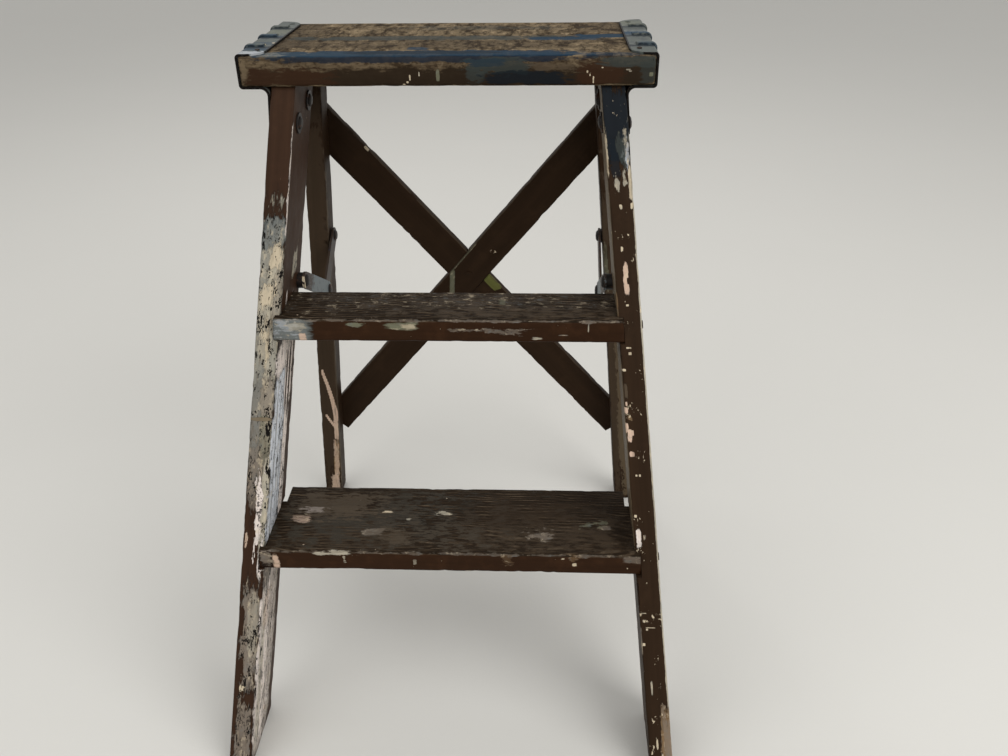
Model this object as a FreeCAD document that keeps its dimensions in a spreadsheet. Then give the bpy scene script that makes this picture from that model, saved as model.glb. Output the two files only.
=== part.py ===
import FreeCAD, Part
import math
import os
import re
import Sketcher

# Folding step stool of painted wood: splayed front rails with two housed treads, a top board held
# between two ribbed sheet brackets, a hinged rear leg frame with crossed slats, and a folding two-link
# spreader each side. Millimetres. X to the right, Y to the back, Z up, floor at zero, and the origin
# midway between the front and rear feet.

SIZES = [
    ("total_height", 530.0, "floor to the top of the bracket flanges"),
    ("base_depth", 395.0, "front feet to rear feet along the floor"),
    ("foot_width", 370.8, "outside of the front rails at the floor"),
    ("rail_top_width", 268.5, "outside of the front rails under the board"),
    ("rail_thick", 19.0, "rail stock measured across the stool"),
    ("rail_width", 66.9, "rail measured level, front to back"),
    ("rail_front_top", 28.7, "front face of the rails under the board"),
    ("rail_round", 1.6, "worn round on the rails' long edges"),
    ("top_overhang", 23.0, "top beyond the rails at each end, over the bracket's end wall"),
    ("top_depth", 139.0, "top board front to back"),
    ("top_nosing", 4.2, "front edge of the top board ahead of the rails' top"),
    ("board_thick", 22.5, "top board thickness"),
    ("board_round", 3.0, "worn round on the board's long top edges"),
    ("board_end_ease", 0.2, "round on the board's ends beyond the inside of the bracket's bends"),
    ("sheet_thick", 1.5, "bracket sheet"),
    ("bracket_inset", 0.6, "bracket ends set in from the board's front and back edges"),
    ("bend_round", 1.5, "inside radius of the bends at the end wall"),
    ("plate_round", 5.0, "inside radius of the bend into the side plate"),
    ("flange_width", 21.0, "top flange across the stool"),
    ("flange_corner", 16.0, "corner radius of the top flange"),
    ("plate_drop", 38.0, "side plate below the board"),
    ("plate_corner", 9.0, "corner radius of the side plate"),
    ("rib_width", 11.0, "pressed rib along the flange"),
    ("rib_rise", 1.7, "pressed rib above the sheet"),
    ("rib_shoulder", 6.0, "rib across its rounded shoulders"),
    ("rib_shoulder_rise", 1.3, "rib's rounded shoulders above the sheet"),
    ("rib_crest", 2.2, "rib across its flat crest"),
    ("rib_first", 31.5, "first rib behind the bracket's front end"),
    ("rib_pitch", 39.0, "rib to rib"),
    ("rib_start", 6.5, "rib end inside the flange's inner edge"),
    ("rib_stop", 4.0, "rib end above the underside flange"),
    ("tread_thick", 19.0, "tread stock"),
    ("upper_tread_top", 347.4, "upper tread above the floor"),
    ("upper_tread_depth", 52.0, "upper tread front to back"),
    ("upper_tread_proud", 3.0, "upper tread ahead of the rails' front face"),
    ("lower_tread_top", 176.7, "lower tread above the floor"),
    ("lower_tread_depth", 85.4, "lower tread front to back"),
    ("lower_tread_proud", 1.0, "lower tread ahead of the rails' front face"),
    ("passing_gap", 2.0, "lower tread's notched rear corners inside the folded rear legs"),
    ("tread_round", 2.4, "worn round on the treads' long edges"),
    ("housing_depth", 4.5, "depth of the tread housings in the rails"),
    ("housing_gap", 0.1, "clearance of a tread in its housing"),
    ("leg_back_top", 134.0, "rear face of the legs under the board"),
    ("leg_thick", 19.0, "leg stock measured across the stool"),
    ("leg_depth", 25.4, "leg stock square to its rear face"),
    ("leg_side_gap", 1.2, "leg inside the side plate"),
    ("leg_stop_gap", 0.3, "leg top below the board when open"),
    ("leg_foot_round", 3.0, "round on the rear feet's back edge"),
    ("leg_round", 1.5, "worn round on the legs' long edges"),
    ("slat_width", 32.0, "crossed slat width"),
    ("slat_thick", 8.0, "crossed slat thickness"),
    ("slat_upper", 45.2, "slat's top edge at the upper leg, down the leg from the board"),
    ("slat_lower", 375.6, "slat's top edge at the lower leg, down the leg from the board"),
    ("pin_radius", 3.2, "hinge pin shank"),
    ("pin_gap", 0.08, "running clearance of the hinge pin in the leg"),
    ("pin_head", 6.5, "hinge pin head radius"),
    ("pin_head_rise", 2.6, "hinge pin head height"),
    ("pin_end_gap", 0.35, "pin's inner head off its washer"),
    ("rivet_radius", 2.4, "rivet shank"),
    ("rivet_gap", 0.05, "clearance of a fixed rivet in its hole"),
    ("rivet_head", 5.0, "rivet head radius"),
    ("rivet_head_rise", 2.2, "rivet head height"),
    ("head_rim", 0.8, "straight rim of a round head"),
    ("knuckle_tail_rise", 1.5, "knuckle rivet's flatter head behind the rear strap"),
    ("washer_radius", 8.0, "washers on the wood"),
    ("washer_thick", 1.2, "washer sheet"),
    ("washer_gap", 0.25, "washer hole round its rivet or pin"),
    ("front_rivet_drop", 29.5, "front bracket rivet below the board"),
    ("front_rivet_inset", 19.5, "front bracket rivet behind the rail's front face"),
    ("rear_rivet_drop", 20.5, "rear bracket rivet below the board"),
    ("rear_rivet_inset", 50.4, "rear bracket rivet behind the rail's front face"),
    ("link_width", 14.5, "spreader strap width"),
    ("link_thick", 2.0, "spreader strap thickness"),
    ("link_gap", 0.3, "clearance between the two straps of a spreader"),
    ("spreader_standoff", 5.07, "plane between the straps, inside the rail at its rivet"),
    ("link_hole_gap", 0.08, "running clearance of a rivet in a strap"),
    ("rail_pivot_height", 350.0, "spreader rivet on the rail above the floor"),
    ("rail_pivot_inset", 8.3, "spreader rivet ahead of the rail's rear face"),
    ("leg_pivot_height", 340.0, "spreader rivet on the leg above the floor"),
    ("knuckle_height", 308.0, "spreader knuckle above the floor, open"),
    ("knuckle_back", 88.5, "spreader knuckle behind the origin, open"),
    ("spacer_radius", 6.6, "spacers between the straps and the wood"),
    ("link_rivet_depth", 13.0, "spreader rivets into the wood"),
    ("nail_radius", 1.3, "nail shank"),
    ("nail_head", 3.2, "nail head radius"),
    ("small_nail_head", 1.8, "front bracket nail head radius"),
    ("flange_hole", 2.7, "radius of the open hole at the back of the top flange"),
    ("sunk_nail_head", 2.3, "head radius of the nail sunk in the flange hole"),
    ("nail_head_rise", 0.8, "nail head height"),
    ("nail_length", 24.0, "nail shank length"),
    ("short_nail_length", 16.0, "bracket nail and slat nail shank length"),
    ("flange_nail_inset", 13.5, "bracket nails inside the outer end of the top"),
    ("front_nail_back", 15.5, "front bracket nail behind the top's front edge"),
    ("rear_nail_front", 13.0, "rear bracket nail ahead of the top's back edge"),
    ("tread_nail_front", 11.5, "front tread nail behind the rail's front face"),
    ("tread_nail_back", 31.0, "rear tread nail behind the rail's front face"),
    ("slat_nail_pitch", 17.0, "two nails at a slat's end, along the leg"),
]

# Sizes that follow from the ones above
DERIVED = {
    "board_bottom": "total_height - sheet_thick - board_thick",
    "flange_bottom": "board_bottom - sheet_thick",
    "half_top": "rail_top_width / 2 + top_overhang",
    "half_board": "half_top - sheet_thick",
    "top_front": "rail_front_top - top_nosing",
    "top_back": "top_front + top_depth",
    "front_rivet_height": "board_bottom - front_rivet_drop",
    "rear_rivet_height": "board_bottom - rear_rivet_drop",
    "rail_splay": "(foot_width - rail_top_width) / 2 / board_bottom",
    "rail_rake": "(rail_front_top + base_depth / 2) / board_bottom",
    "leg_rake": "(base_depth / 2 - leg_back_top) / board_bottom",
    "rail_lean": "atan(rail_rake)",
    "leg_lean": "atan(leg_rake)",
    "fold_angle": "rail_lean + leg_lean",
    "splay_angle": "atan(rail_splay)",
    "leg_splay": "rail_splay * cos(rail_lean) / cos(leg_lean)",
    "leg_level_depth": "leg_depth / cos(leg_lean)",
    "leg_top": "board_bottom - leg_stop_gap",
    "plate_bottom": "board_bottom - plate_drop",
    "plate_level_thick": "sheet_thick / cos(splay_angle)",
    "pivot_height": "leg_top - leg_depth / 2",
    "reach": "base_depth + total_height",
}

os.makedirs("parts", exist_ok=True)
doc = FreeCAD.newDocument("FoldingStepStool")
sheet = doc.addObject("Spreadsheet::Sheet", "Sizes")
for row, (alias, number, meaning) in enumerate(SIZES, 1):
    sheet.set(f"A{row}", alias)
    sheet.set(f"B{row}", str(number))
    sheet.set(f"C{row}", meaning)
    sheet.setAlias(f"B{row}", alias)
doc.recompute()

ALIASES = {alias for alias, number, meaning in SIZES}

AXIS_X = FreeCAD.Vector(1, 0, 0)
AXIS_Y = FreeCAD.Vector(0, 1, 0)
AXIS_Z = FreeCAD.Vector(0, 0, 1)

# How far off a point or a direction may be and still count as the one looked for
PLACE_SLACK = 0.3
PARALLEL = 0.9999
LEAST_CUT = 0.01


def formula(text):
    """Expression text with every derived size opened up and every alias read from the sheet."""
    def spell(match):
        word = match.group(0)
        if word in DERIVED:
            return f"({formula(DERIVED[word])})"
        return f"Sizes.{word}" if word in ALIASES else word
    return re.sub(r"[A-Za-z_]+", spell, text)


def value(text):
    """Number that a size formula gives now."""
    result = sheet.evalExpression(formula(text))
    return float(getattr(result, "Value", result))


# Faces of the leaning and splayed lumber at a given height above the floor
def rail_outer(height):
    return f"(rail_top_width / 2 + rail_splay * (board_bottom - ({height})))"


def rail_inner(height):
    return f"({rail_outer(height)} - rail_thick)"


def rail_front(height):
    return f"(rail_front_top - rail_rake * (board_bottom - ({height})))"


def rail_back(height):
    return f"({rail_front(height)} + rail_width)"


def leg_outer(height):
    return f"(rail_top_width / 2 - leg_side_gap + leg_splay * (board_bottom - ({height})))"


def leg_inner(height):
    return f"({leg_outer(height)} - leg_thick)"


def leg_back(height):
    return f"(leg_back_top + leg_rake * (board_bottom - ({height})))"


def leg_front(height):
    return f"({leg_back(height)} - leg_level_depth)"


def leg_middle(height):
    return f"({leg_back(height)} - leg_level_depth / 2)"


DERIVED["pivot_back"] = leg_middle("pivot_height")
DERIVED["rail_pivot_back"] = f"{rail_back('rail_pivot_height')} - rail_pivot_inset"
DERIVED["leg_pivot_back"] = leg_middle("leg_pivot_height")
DERIVED["link_plane"] = f"{rail_inner('rail_pivot_height')} - spreader_standoff"
DERIVED["front_rivet_back"] = f"{rail_front('front_rivet_height')} + front_rivet_inset"
DERIVED["rear_rivet_back"] = f"{rail_front('rear_rivet_height')} + rear_rivet_inset"
# Place on the leg, open, that comes beside the lower tread's top when the legs are folded along the rails
DERIVED["passing_height"] = "pivot_height - (pivot_height - lower_tread_top) * cos(leg_lean) / cos(rail_lean)"
DERIVED["lower_tread_back_half"] = f"{leg_inner('passing_height')} - passing_gap"


def new_body(label):
    body = doc.addObject("PartDesign::Body", label)
    body.Label = label
    return body


def new_sketch(body, name, role, offset="0"):
    """Sketch on one of the body's own origin planes, moved along the plane's normal by a formula."""
    sketch = body.newObject("Sketcher::SketchObject", name)
    plane = next(item for item in body.Origin.OriginFeatures if item.Role == role)
    sketch.AttachmentSupport = [(plane, "")]
    sketch.MapMode = "FlatFace"
    sketch.AttachmentOffset = FreeCAD.Placement(FreeCAD.Vector(0, 0, value(offset)), FreeCAD.Rotation())
    sketch.setExpression("AttachmentOffset.Base.z", formula(offset))
    return sketch


def hold(sketch, kind, first, place, text):
    """Signed distance of a sketch point from the sketch's origin, bound to a formula."""
    index = sketch.addConstraint(Sketcher.Constraint(kind, -1, 1, first, place, value(text)))
    sketch.setExpression(f"Constraints[{index}]", formula(text))


def add_outline(sketch, corners):
    """Closed outline of straight lines, each corner held by two formulas."""
    points = [FreeCAD.Vector(value(across), value(along), 0) for across, along in corners]
    start = sketch.GeometryCount
    count = len(corners)
    for number in range(count):
        sketch.addGeometry(Part.LineSegment(points[number], points[(number + 1) % count]), False)
    for number, (across, along) in enumerate(corners):
        follower = start + (number + 1) % count
        sketch.addConstraint(Sketcher.Constraint("Coincident", start + number, 2, follower, 1))
        hold(sketch, "DistanceX", start + number, 1, across)
        hold(sketch, "DistanceY", start + number, 1, along)


def add_circle(sketch, across, along, radius):
    """Circle with its centre and radius held by formulas."""
    centre = FreeCAD.Vector(value(across), value(along), 0)
    index = sketch.addGeometry(Part.Circle(centre, AXIS_Z, value(radius)), False)
    hold(sketch, "DistanceX", index, 3, across)
    hold(sketch, "DistanceY", index, 3, along)
    constraint = sketch.addConstraint(Sketcher.Constraint("Radius", index, value(radius)))
    sketch.setExpression(f"Constraints[{constraint}]", formula(radius))


def add_pad(body, sketch, name, length, side="Symmetric", backwards=False):
    pad = body.newObject("PartDesign::Pad", name)
    pad.Profile = sketch
    pad.SideType = side
    pad.Reversed = backwards
    pad.setExpression("Length", formula(length))
    doc.recompute()
    return pad


def add_pocket(body, sketch, name, length, side="Symmetric", backwards=False):
    """Pocket that must take material away."""
    before = body.Shape.Volume
    pocket = body.newObject("PartDesign::Pocket", name)
    pocket.Profile = sketch
    pocket.SideType = side
    pocket.Reversed = backwards
    pocket.setExpression("Length", formula(length))
    doc.recompute()
    if not body.Shape.Volume < before - LEAST_CUT:
        raise ValueError(f"{name} of {body.Label} cuts nothing")
    return pocket


def add_fillet(body, name, radius, chosen):
    """Fillet on the edges of the body's present shape that the test picks."""
    base = body.Tip
    names = [f"Edge{number}" for number, edge in enumerate(base.Shape.Edges, 1) if chosen(edge)]
    if not names:
        raise ValueError(f"{name} of {body.Label} finds no edge")
    fillet = body.newObject("PartDesign::Fillet", name)
    fillet.Base = (base, names)
    fillet.setExpression("Radius", formula(radius))
    doc.recompute()
    return fillet


def near(number, text, slack=PLACE_SLACK):
    return abs(number - value(text)) < slack


def middle(edge):
    return edge.valueAt((edge.FirstParameter + edge.LastParameter) / 2)


def runs_along(edge, axis):
    """True where a straight edge is parallel to the axis."""
    direction = edge.Vertexes[-1].Point - edge.Vertexes[0].Point
    return direction.Length > LEAST_CUT and abs(direction.normalize().dot(axis)) > PARALLEL


def add_mirror(source, label):
    """Left-hand twin of a right-hand piece."""
    twin = doc.addObject("Part::Mirroring", label)
    twin.Label = label
    twin.Source = source
    twin.Normal = AXIS_X
    return twin


def cut_outside(body, name, front, back, low, high):
    """Trim a body to the slanted band between two lines in the side view."""
    sketch = new_sketch(body, f"{name}Sketch", "YZ_Plane")
    under = f"({low}) - rail_thick"
    over = f"({high}) + rail_thick"
    add_outline(sketch, [(front(under), under), (front(over), over), ("-reach", over), ("-reach", under)])
    add_outline(sketch, [(back(under), under), (back(over), over), ("reach", over), ("reach", under)])
    return add_pocket(body, sketch, name, "2 * reach")


TREADS = {
    "upper_tread": ("upper_tread_top", "upper_tread_depth", "upper_tread_proud"),
    "lower_tread": ("lower_tread_top", "lower_tread_depth", "lower_tread_proud"),
}


def tread_front(tread):
    top, depth, proud = TREADS[tread]
    return f"({rail_front(f'{top} - tread_thick / 2')} - {proud})"


def tread_back(tread):
    top, depth, proud = TREADS[tread]
    return f"({tread_front(tread)} + {depth})"


# Front rail: splayed in front view, leaning in side view, housed for both treads
def build_rail():
    body = new_body("right_front_rail")
    splay = new_sketch(body, "RailSplay", "XZ_Plane")
    add_outline(splay, [
        (rail_inner("board_bottom"), "board_bottom"),
        (rail_outer("board_bottom"), "board_bottom"),
        (rail_outer("0"), "0"),
        (rail_inner("0"), "0"),
    ])
    add_pad(body, splay, "RailBlank", "2 * reach")
    cut_outside(body, "RailLean", rail_front, rail_back, "0", "board_bottom")
    long_edge = value("board_bottom / 2")
    add_fillet(body, "RailRound", "rail_round", lambda edge: edge.Length > long_edge)
    for tread, (top, depth, proud) in TREADS.items():
        low = f"({top} - tread_thick - housing_gap)"
        high = f"({top} + housing_gap)"
        housing = new_sketch(body, f"Housing_{tread}", "XZ_Plane", f"-({tread_back(tread)} + housing_gap)")
        add_outline(housing, [
            (f"{rail_inner(low)} - rail_thick", low),
            (f"{rail_inner(low)} + housing_depth", low),
            (f"{rail_inner(high)} + housing_depth", high),
            (f"{rail_inner(high)} - rail_thick", high),
        ])
        add_pocket(body, housing, f"HousingCut_{tread}", "reach", "One side", True)
    holes = new_sketch(body, "RivetHoles", "YZ_Plane")
    add_circle(holes, "front_rivet_back", "front_rivet_height", "rivet_radius + rivet_gap")
    add_circle(holes, "rear_rivet_back", "rear_rivet_height", "rivet_radius + rivet_gap")
    add_pocket(body, holes, "RivetBores", "reach", "One side", True)
    seat = new_sketch(body, "SpreaderHole", "YZ_Plane")
    add_circle(seat, "rail_pivot_back", "rail_pivot_height", "rivet_radius + rivet_gap")
    depth = f"{rail_inner('rail_pivot_height')} + link_rivet_depth"
    add_pocket(body, seat, "SpreaderBore", depth, "One side", True)
    return body


# Rear leg: same construction, its rounded top turning under the board about the hinge pin
def build_leg():
    body = new_body("right_rear_leg")
    splay = new_sketch(body, "LegSplay", "XZ_Plane")
    add_outline(splay, [
        (leg_inner("leg_top"), "leg_top"),
        (leg_outer("leg_top"), "leg_top"),
        (leg_outer("0"), "0"),
        (leg_inner("0"), "0"),
    ])
    add_pad(body, splay, "LegBlank", "2 * reach")
    cut_outside(body, "LegLean", leg_front, leg_back, "0", "leg_top")
    add_fillet(body, "LegKnuckle", "leg_depth / 2", lambda edge: runs_along(edge, AXIS_X)
               and near(middle(edge).z, "leg_top") and near(middle(edge).y, leg_front("leg_top")))
    add_fillet(body, "LegFoot", "leg_foot_round", lambda edge: runs_along(edge, AXIS_X)
               and near(middle(edge).z, "0") and near(middle(edge).y, leg_back("0")))
    long_edge = value("leg_top / 2")
    add_fillet(body, "LegRound", "leg_round", lambda edge: edge.Length > long_edge)
    bore = new_sketch(body, "HingeHole", "YZ_Plane")
    add_circle(bore, "pivot_back", "pivot_height", "pin_radius + pin_gap")
    add_pocket(body, bore, "HingeBore", "reach", "One side", True)
    seat = new_sketch(body, "SpreaderHole", "YZ_Plane")
    add_circle(seat, "leg_pivot_back", "leg_pivot_height", "rivet_radius + rivet_gap")
    depth = f"{leg_inner('leg_pivot_height')} + link_rivet_depth"
    add_pocket(body, seat, "SpreaderBore", depth, "One side", True)
    return body


# Tread: slanted ends seated in the housings, long edges worn round
def build_tread(tread):
    top, depth, proud = TREADS[tread]
    body = new_body(tread)
    low = f"({top} - tread_thick)"
    ends = [(f"({rail_inner(height)} + housing_depth - housing_gap)", height) for height in (low, top)]
    profile = new_sketch(body, "TreadEnds", "XZ_Plane", f"-{tread_front(tread)}")
    add_outline(profile, [
        (f"-{ends[0][0]}", ends[0][1]),
        (f"{ends[0][0]}", ends[0][1]),
        (f"{ends[1][0]}", ends[1][1]),
        (f"-{ends[1][0]}", ends[1][1]),
    ])
    add_pad(body, profile, "TreadBoard", depth, "One side", True)
    add_fillet(body, "TreadRound", "tread_round", lambda edge: runs_along(edge, AXIS_X))
    return body


def notch_lower_tread(body):
    """Clear the rear corners of the lower tread, where the folded legs pass."""
    shoulder = rail_back("lower_tread_top - tread_thick")
    notch = new_sketch(body, "PassingNotches", "XY_Plane")
    for side in ("-1 * ", ""):
        add_outline(notch, [
            (f"{side}lower_tread_back_half", shoulder),
            (f"{side}reach", shoulder),
            (f"{side}reach", "reach"),
            (f"{side}lower_tread_back_half", "reach"),
        ])
    add_pocket(body, notch, "PassingNotchCut", "reach", "One side", True)


# Top board between the brackets' flanges
def build_top_board():
    body = new_body("top_board")
    outline = new_sketch(body, "BoardEnd", "XZ_Plane", "-top_front")
    add_outline(outline, [
        ("-half_board", "board_bottom"),
        ("half_board", "board_bottom"),
        ("half_board", "board_bottom + board_thick"),
        ("-half_board", "board_bottom + board_thick"),
    ])
    add_pad(body, outline, "Board", "top_depth", "One side", True)
    add_fillet(body, "BoardEndRound", "bend_round + board_end_ease", lambda edge: runs_along(edge, AXIS_Y))
    top = "board_bottom + board_thick"
    add_fillet(body, "BoardRound", "board_round", lambda edge: runs_along(edge, AXIS_X)
               and near(middle(edge).z, top))
    return body


# Bracket: sheet folded over the board's end, under it and down the outside of the rail, with pressed ribs
def build_bracket():
    body = new_body("right_bracket")
    inner_edge = "half_top - flange_width"
    front_end = "top_front + bracket_inset"
    profile = new_sketch(body, "BracketFold", "XZ_Plane", f"-({front_end})")
    add_outline(profile, [
        (inner_edge, "total_height"),
        ("half_top", "total_height"),
        ("half_top", "flange_bottom"),
        (f"{rail_outer('flange_bottom')} + plate_level_thick", "flange_bottom"),
        (f"{rail_outer('plate_bottom')} + plate_level_thick", "plate_bottom"),
        (rail_outer("plate_bottom"), "plate_bottom"),
        (rail_outer("board_bottom"), "board_bottom"),
        ("half_board", "board_bottom"),
        ("half_board", "total_height - sheet_thick"),
        (inner_edge, "total_height - sheet_thick"),
    ])
    add_pad(body, profile, "BracketSheet", "top_depth - 2 * bracket_inset", "One side", True)
    plate_face = f"{rail_outer('flange_bottom')} + plate_level_thick"
    bends = [
        ("EndWallOuter", "bend_round + sheet_thick", "half_top", ("total_height", "flange_bottom")),
        ("EndWallInner", "bend_round", "half_board", ("total_height - sheet_thick", "board_bottom")),
        ("PlateOuter", "plate_round", plate_face, ("flange_bottom",)),
        ("PlateInner", "plate_round + sheet_thick", rail_outer("board_bottom"), ("board_bottom",)),
    ]
    for name, radius, across, heights in bends:
        add_fillet(body, name, radius, lambda edge: runs_along(edge, AXIS_Y) and near(middle(edge).x, across)
                   and any(near(middle(edge).z, height) for height in heights))
    add_fillet(body, "FlangeCorner", "flange_corner", lambda edge: runs_along(edge, AXIS_Z)
               and near(middle(edge).x, inner_edge))
    short = value("1.5 * sheet_thick")
    add_fillet(body, "PlateCorner", "plate_corner", lambda edge: edge.Length < short
               and near(middle(edge).z, "plate_bottom") and not runs_along(edge, AXIS_Y))
    add_ribs(body, inner_edge, front_end)
    holes = new_sketch(body, "SidePlateHoles", "YZ_Plane")
    add_circle(holes, "front_rivet_back", "front_rivet_height", "rivet_radius + rivet_gap")
    add_circle(holes, "rear_rivet_back", "rear_rivet_height", "rivet_radius + rivet_gap")
    add_circle(holes, "pivot_back", "pivot_height", "pin_radius + rivet_gap")
    add_pocket(body, holes, "SidePlateBores", "reach", "One side", True)
    flange = new_sketch(body, "FlangeHole", "XY_Plane", "total_height + rib_rise")
    add_circle(flange, "half_top - flange_nail_inset", "top_back - rear_nail_front", "flange_hole")
    add_pocket(body, flange, "FlangeBore", "rib_rise + 1.5 * sheet_thick", "One side")
    return body


def add_ribs(body, inner_edge, front_end):
    """Half-round ribs pressed outwards across the flange and down the end wall."""
    start = f"({inner_edge} + rib_start)"
    low = "(flange_bottom + rib_stop + bend_round)"
    bend = value("bend_round + sheet_thick")
    path = new_sketch(body, "RibPath", "XZ_Plane", f"-({front_end} + rib_first)")
    corner = FreeCAD.Vector(value("half_top") - bend, value("total_height") - bend, 0)
    flat = FreeCAD.Vector(value(start), value("total_height"), 0)
    foot = FreeCAD.Vector(value("half_top"), value(low), 0)
    path.addGeometry(Part.LineSegment(flat, FreeCAD.Vector(corner.x, flat.y, 0)), False)
    circle = Part.Circle(corner, AXIS_Z, bend)
    path.addGeometry(Part.ArcOfCircle(circle, 0, math.pi / 2), False)
    path.addGeometry(Part.LineSegment(FreeCAD.Vector(foot.x, corner.y, 0), foot), False)
    path.addConstraint(Sketcher.Constraint("Tangent", 0, 2, 1, 2))
    path.addConstraint(Sketcher.Constraint("Tangent", 1, 1, 2, 1))
    path.addConstraint(Sketcher.Constraint("Horizontal", 0))
    path.addConstraint(Sketcher.Constraint("Vertical", 2))
    hold(path, "DistanceX", 0, 1, start)
    hold(path, "DistanceY", 0, 1, "total_height")
    hold(path, "DistanceX", 2, 2, "half_top")
    hold(path, "DistanceY", 2, 2, low)
    radius = path.addConstraint(Sketcher.Constraint("Radius", 1, bend))
    path.setExpression(f"Constraints[{radius}]", formula("bend_round + sheet_thick"))
    section = new_sketch(body, "RibSection", "YZ_Plane", start)
    centre = f"({front_end} + rib_first)"
    deep = "(total_height - sheet_thick / 2)"
    add_outline(section, [
        (f"{centre} - rib_width / 2", deep),
        (f"{centre} + rib_width / 2", deep),
        (f"{centre} + rib_shoulder / 2", "total_height + rib_shoulder_rise"),
        (f"{centre} + rib_crest / 2", "total_height + rib_rise"),
        (f"{centre} - rib_crest / 2", "total_height + rib_rise"),
        (f"{centre} - rib_shoulder / 2", "total_height + rib_shoulder_rise"),
    ])
    rib = body.newObject("PartDesign::AdditivePipe", "Rib")
    rib.Profile = section
    rib.Spine = path
    rib.Transition = "Transformed"
    doc.recompute()
    pattern = body.newObject("PartDesign::LinearPattern", "Ribs")
    pattern.Originals = [rib]
    pattern.Direction = (section, ["H_Axis"])
    pattern.Occurrences = 3
    pattern.setExpression("Length", formula("2 * rib_pitch"))
    body.Tip = pattern
    doc.recompute()


# Crossed slats on the rear faces of the legs, half-lapped where they cross and trimmed to the legs
def leaning_place(item):
    """Local X across, Y square to the legs' rear faces, Z up the legs, zero at the board's underside."""
    item.Placement = FreeCAD.Placement(FreeCAD.Vector(0, value("leg_back_top"), value("board_bottom")),
                                       FreeCAD.Rotation(AXIS_X, value("leg_lean")))
    item.setExpression("Placement.Base.y", formula("leg_back_top"))
    item.setExpression("Placement.Base.z", formula("board_bottom"))
    item.setExpression("Placement.Rotation.Angle", formula("leg_lean"))


def slat_line():
    """Formulas of the slats' half spans at their upper and lower ends, and of their tilt."""
    upper = leg_inner("board_bottom - slat_upper * cos(leg_lean)")
    lower = leg_inner("board_bottom - slat_lower * cos(leg_lean)")
    return upper, lower, f"atan((slat_lower - slat_upper) / ({upper} + {lower}))"


def slat_box(label, side, depth_share, front_share):
    """Blank, or a share of its thickness, from the upper leg on one side to the lower leg on the other."""
    upper, lower, tilt = slat_line()
    run = f"({upper} + {lower})"
    spare = "2 * leg_thick"
    blank = doc.addObject("Part::Box", label)
    blank.setExpression("Length", formula(f"{run} / cos({tilt}) + 2 * {spare}"))
    blank.setExpression("Width", formula(f"slat_thick * {depth_share}"))
    blank.setExpression("Height", formula("slat_width"))
    angle = f"(-1 * {side}) * {tilt}"
    # The blank's corner: back along the top edge from its lower end, then down by the slat's width
    if side > 0:
        across = f"(-1 * {lower} - {spare} * cos({tilt}) + slat_width * sin({tilt}))"
        down = f"(-1 * slat_lower - {spare} * sin({tilt}) - slat_width * cos({tilt}))"
    else:
        across = f"(-1 * {upper} - {spare} * cos({tilt}) - slat_width * sin({tilt}))"
        down = f"(-1 * slat_upper + {spare} * sin({tilt}) - slat_width * cos({tilt}))"
    blank.Placement = FreeCAD.Placement(FreeCAD.Vector(0, 0, 0), FreeCAD.Rotation(AXIS_Y, value(angle)))
    blank.setExpression("Placement.Base.x", formula(across))
    blank.setExpression("Placement.Base.y", formula(f"slat_thick * {front_share}"))
    blank.setExpression("Placement.Base.z", formula(down))
    blank.setExpression("Placement.Rotation.Angle", formula(angle))
    return blank


def build_slats():
    """Rising slat whole in front at the crossing, falling slat whole behind it."""
    field = doc.addObject("Part::Wedge", "slat_field")
    high = "0"
    low = "-1 * board_bottom / cos(leg_lean)"
    wide = {edge: leg_outer(f"board_bottom + ({edge}) * cos(leg_lean)") for edge in (high, low)}
    # The wedge tapers along its own Y, so it is laid with that axis up the legs
    field.setExpression("Ymin", formula(low))
    field.setExpression("Ymax", formula("0"))
    field.setExpression("Xmin", formula(f"-1 * {wide[low]}"))
    field.setExpression("Xmax", formula(wide[low]))
    field.setExpression("X2min", formula(f"-1 * {wide[high]}"))
    field.setExpression("X2max", formula(wide[high]))
    for low_end, high_end in (("Zmin", "Zmax"), ("Z2min", "Z2max")):
        field.setExpression(low_end, formula("-2 * slat_thick"))
        field.setExpression(high_end, formula("2 * slat_thick"))
    field.Placement = FreeCAD.Placement(FreeCAD.Vector(0, 0, 0), FreeCAD.Rotation(AXIS_X, 90))
    for label, side, lap_share in (("rising_slat", 1, "0.5"), ("falling_slat", -1, "0")):
        blank = slat_box(f"{label}_blank", side, "1", "0")
        trimmed = doc.addObject("Part::Common", f"{label}_trimmed")
        trimmed.Base = blank
        trimmed.Tool = field
        lap = slat_box(f"{label}_lap", -side, "0.5", lap_share)
        slat = doc.addObject("Part::Cut", label)
        slat.Label = label
        slat.Base = trimmed
        slat.Tool = lap
        leaning_place(slat)


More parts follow.
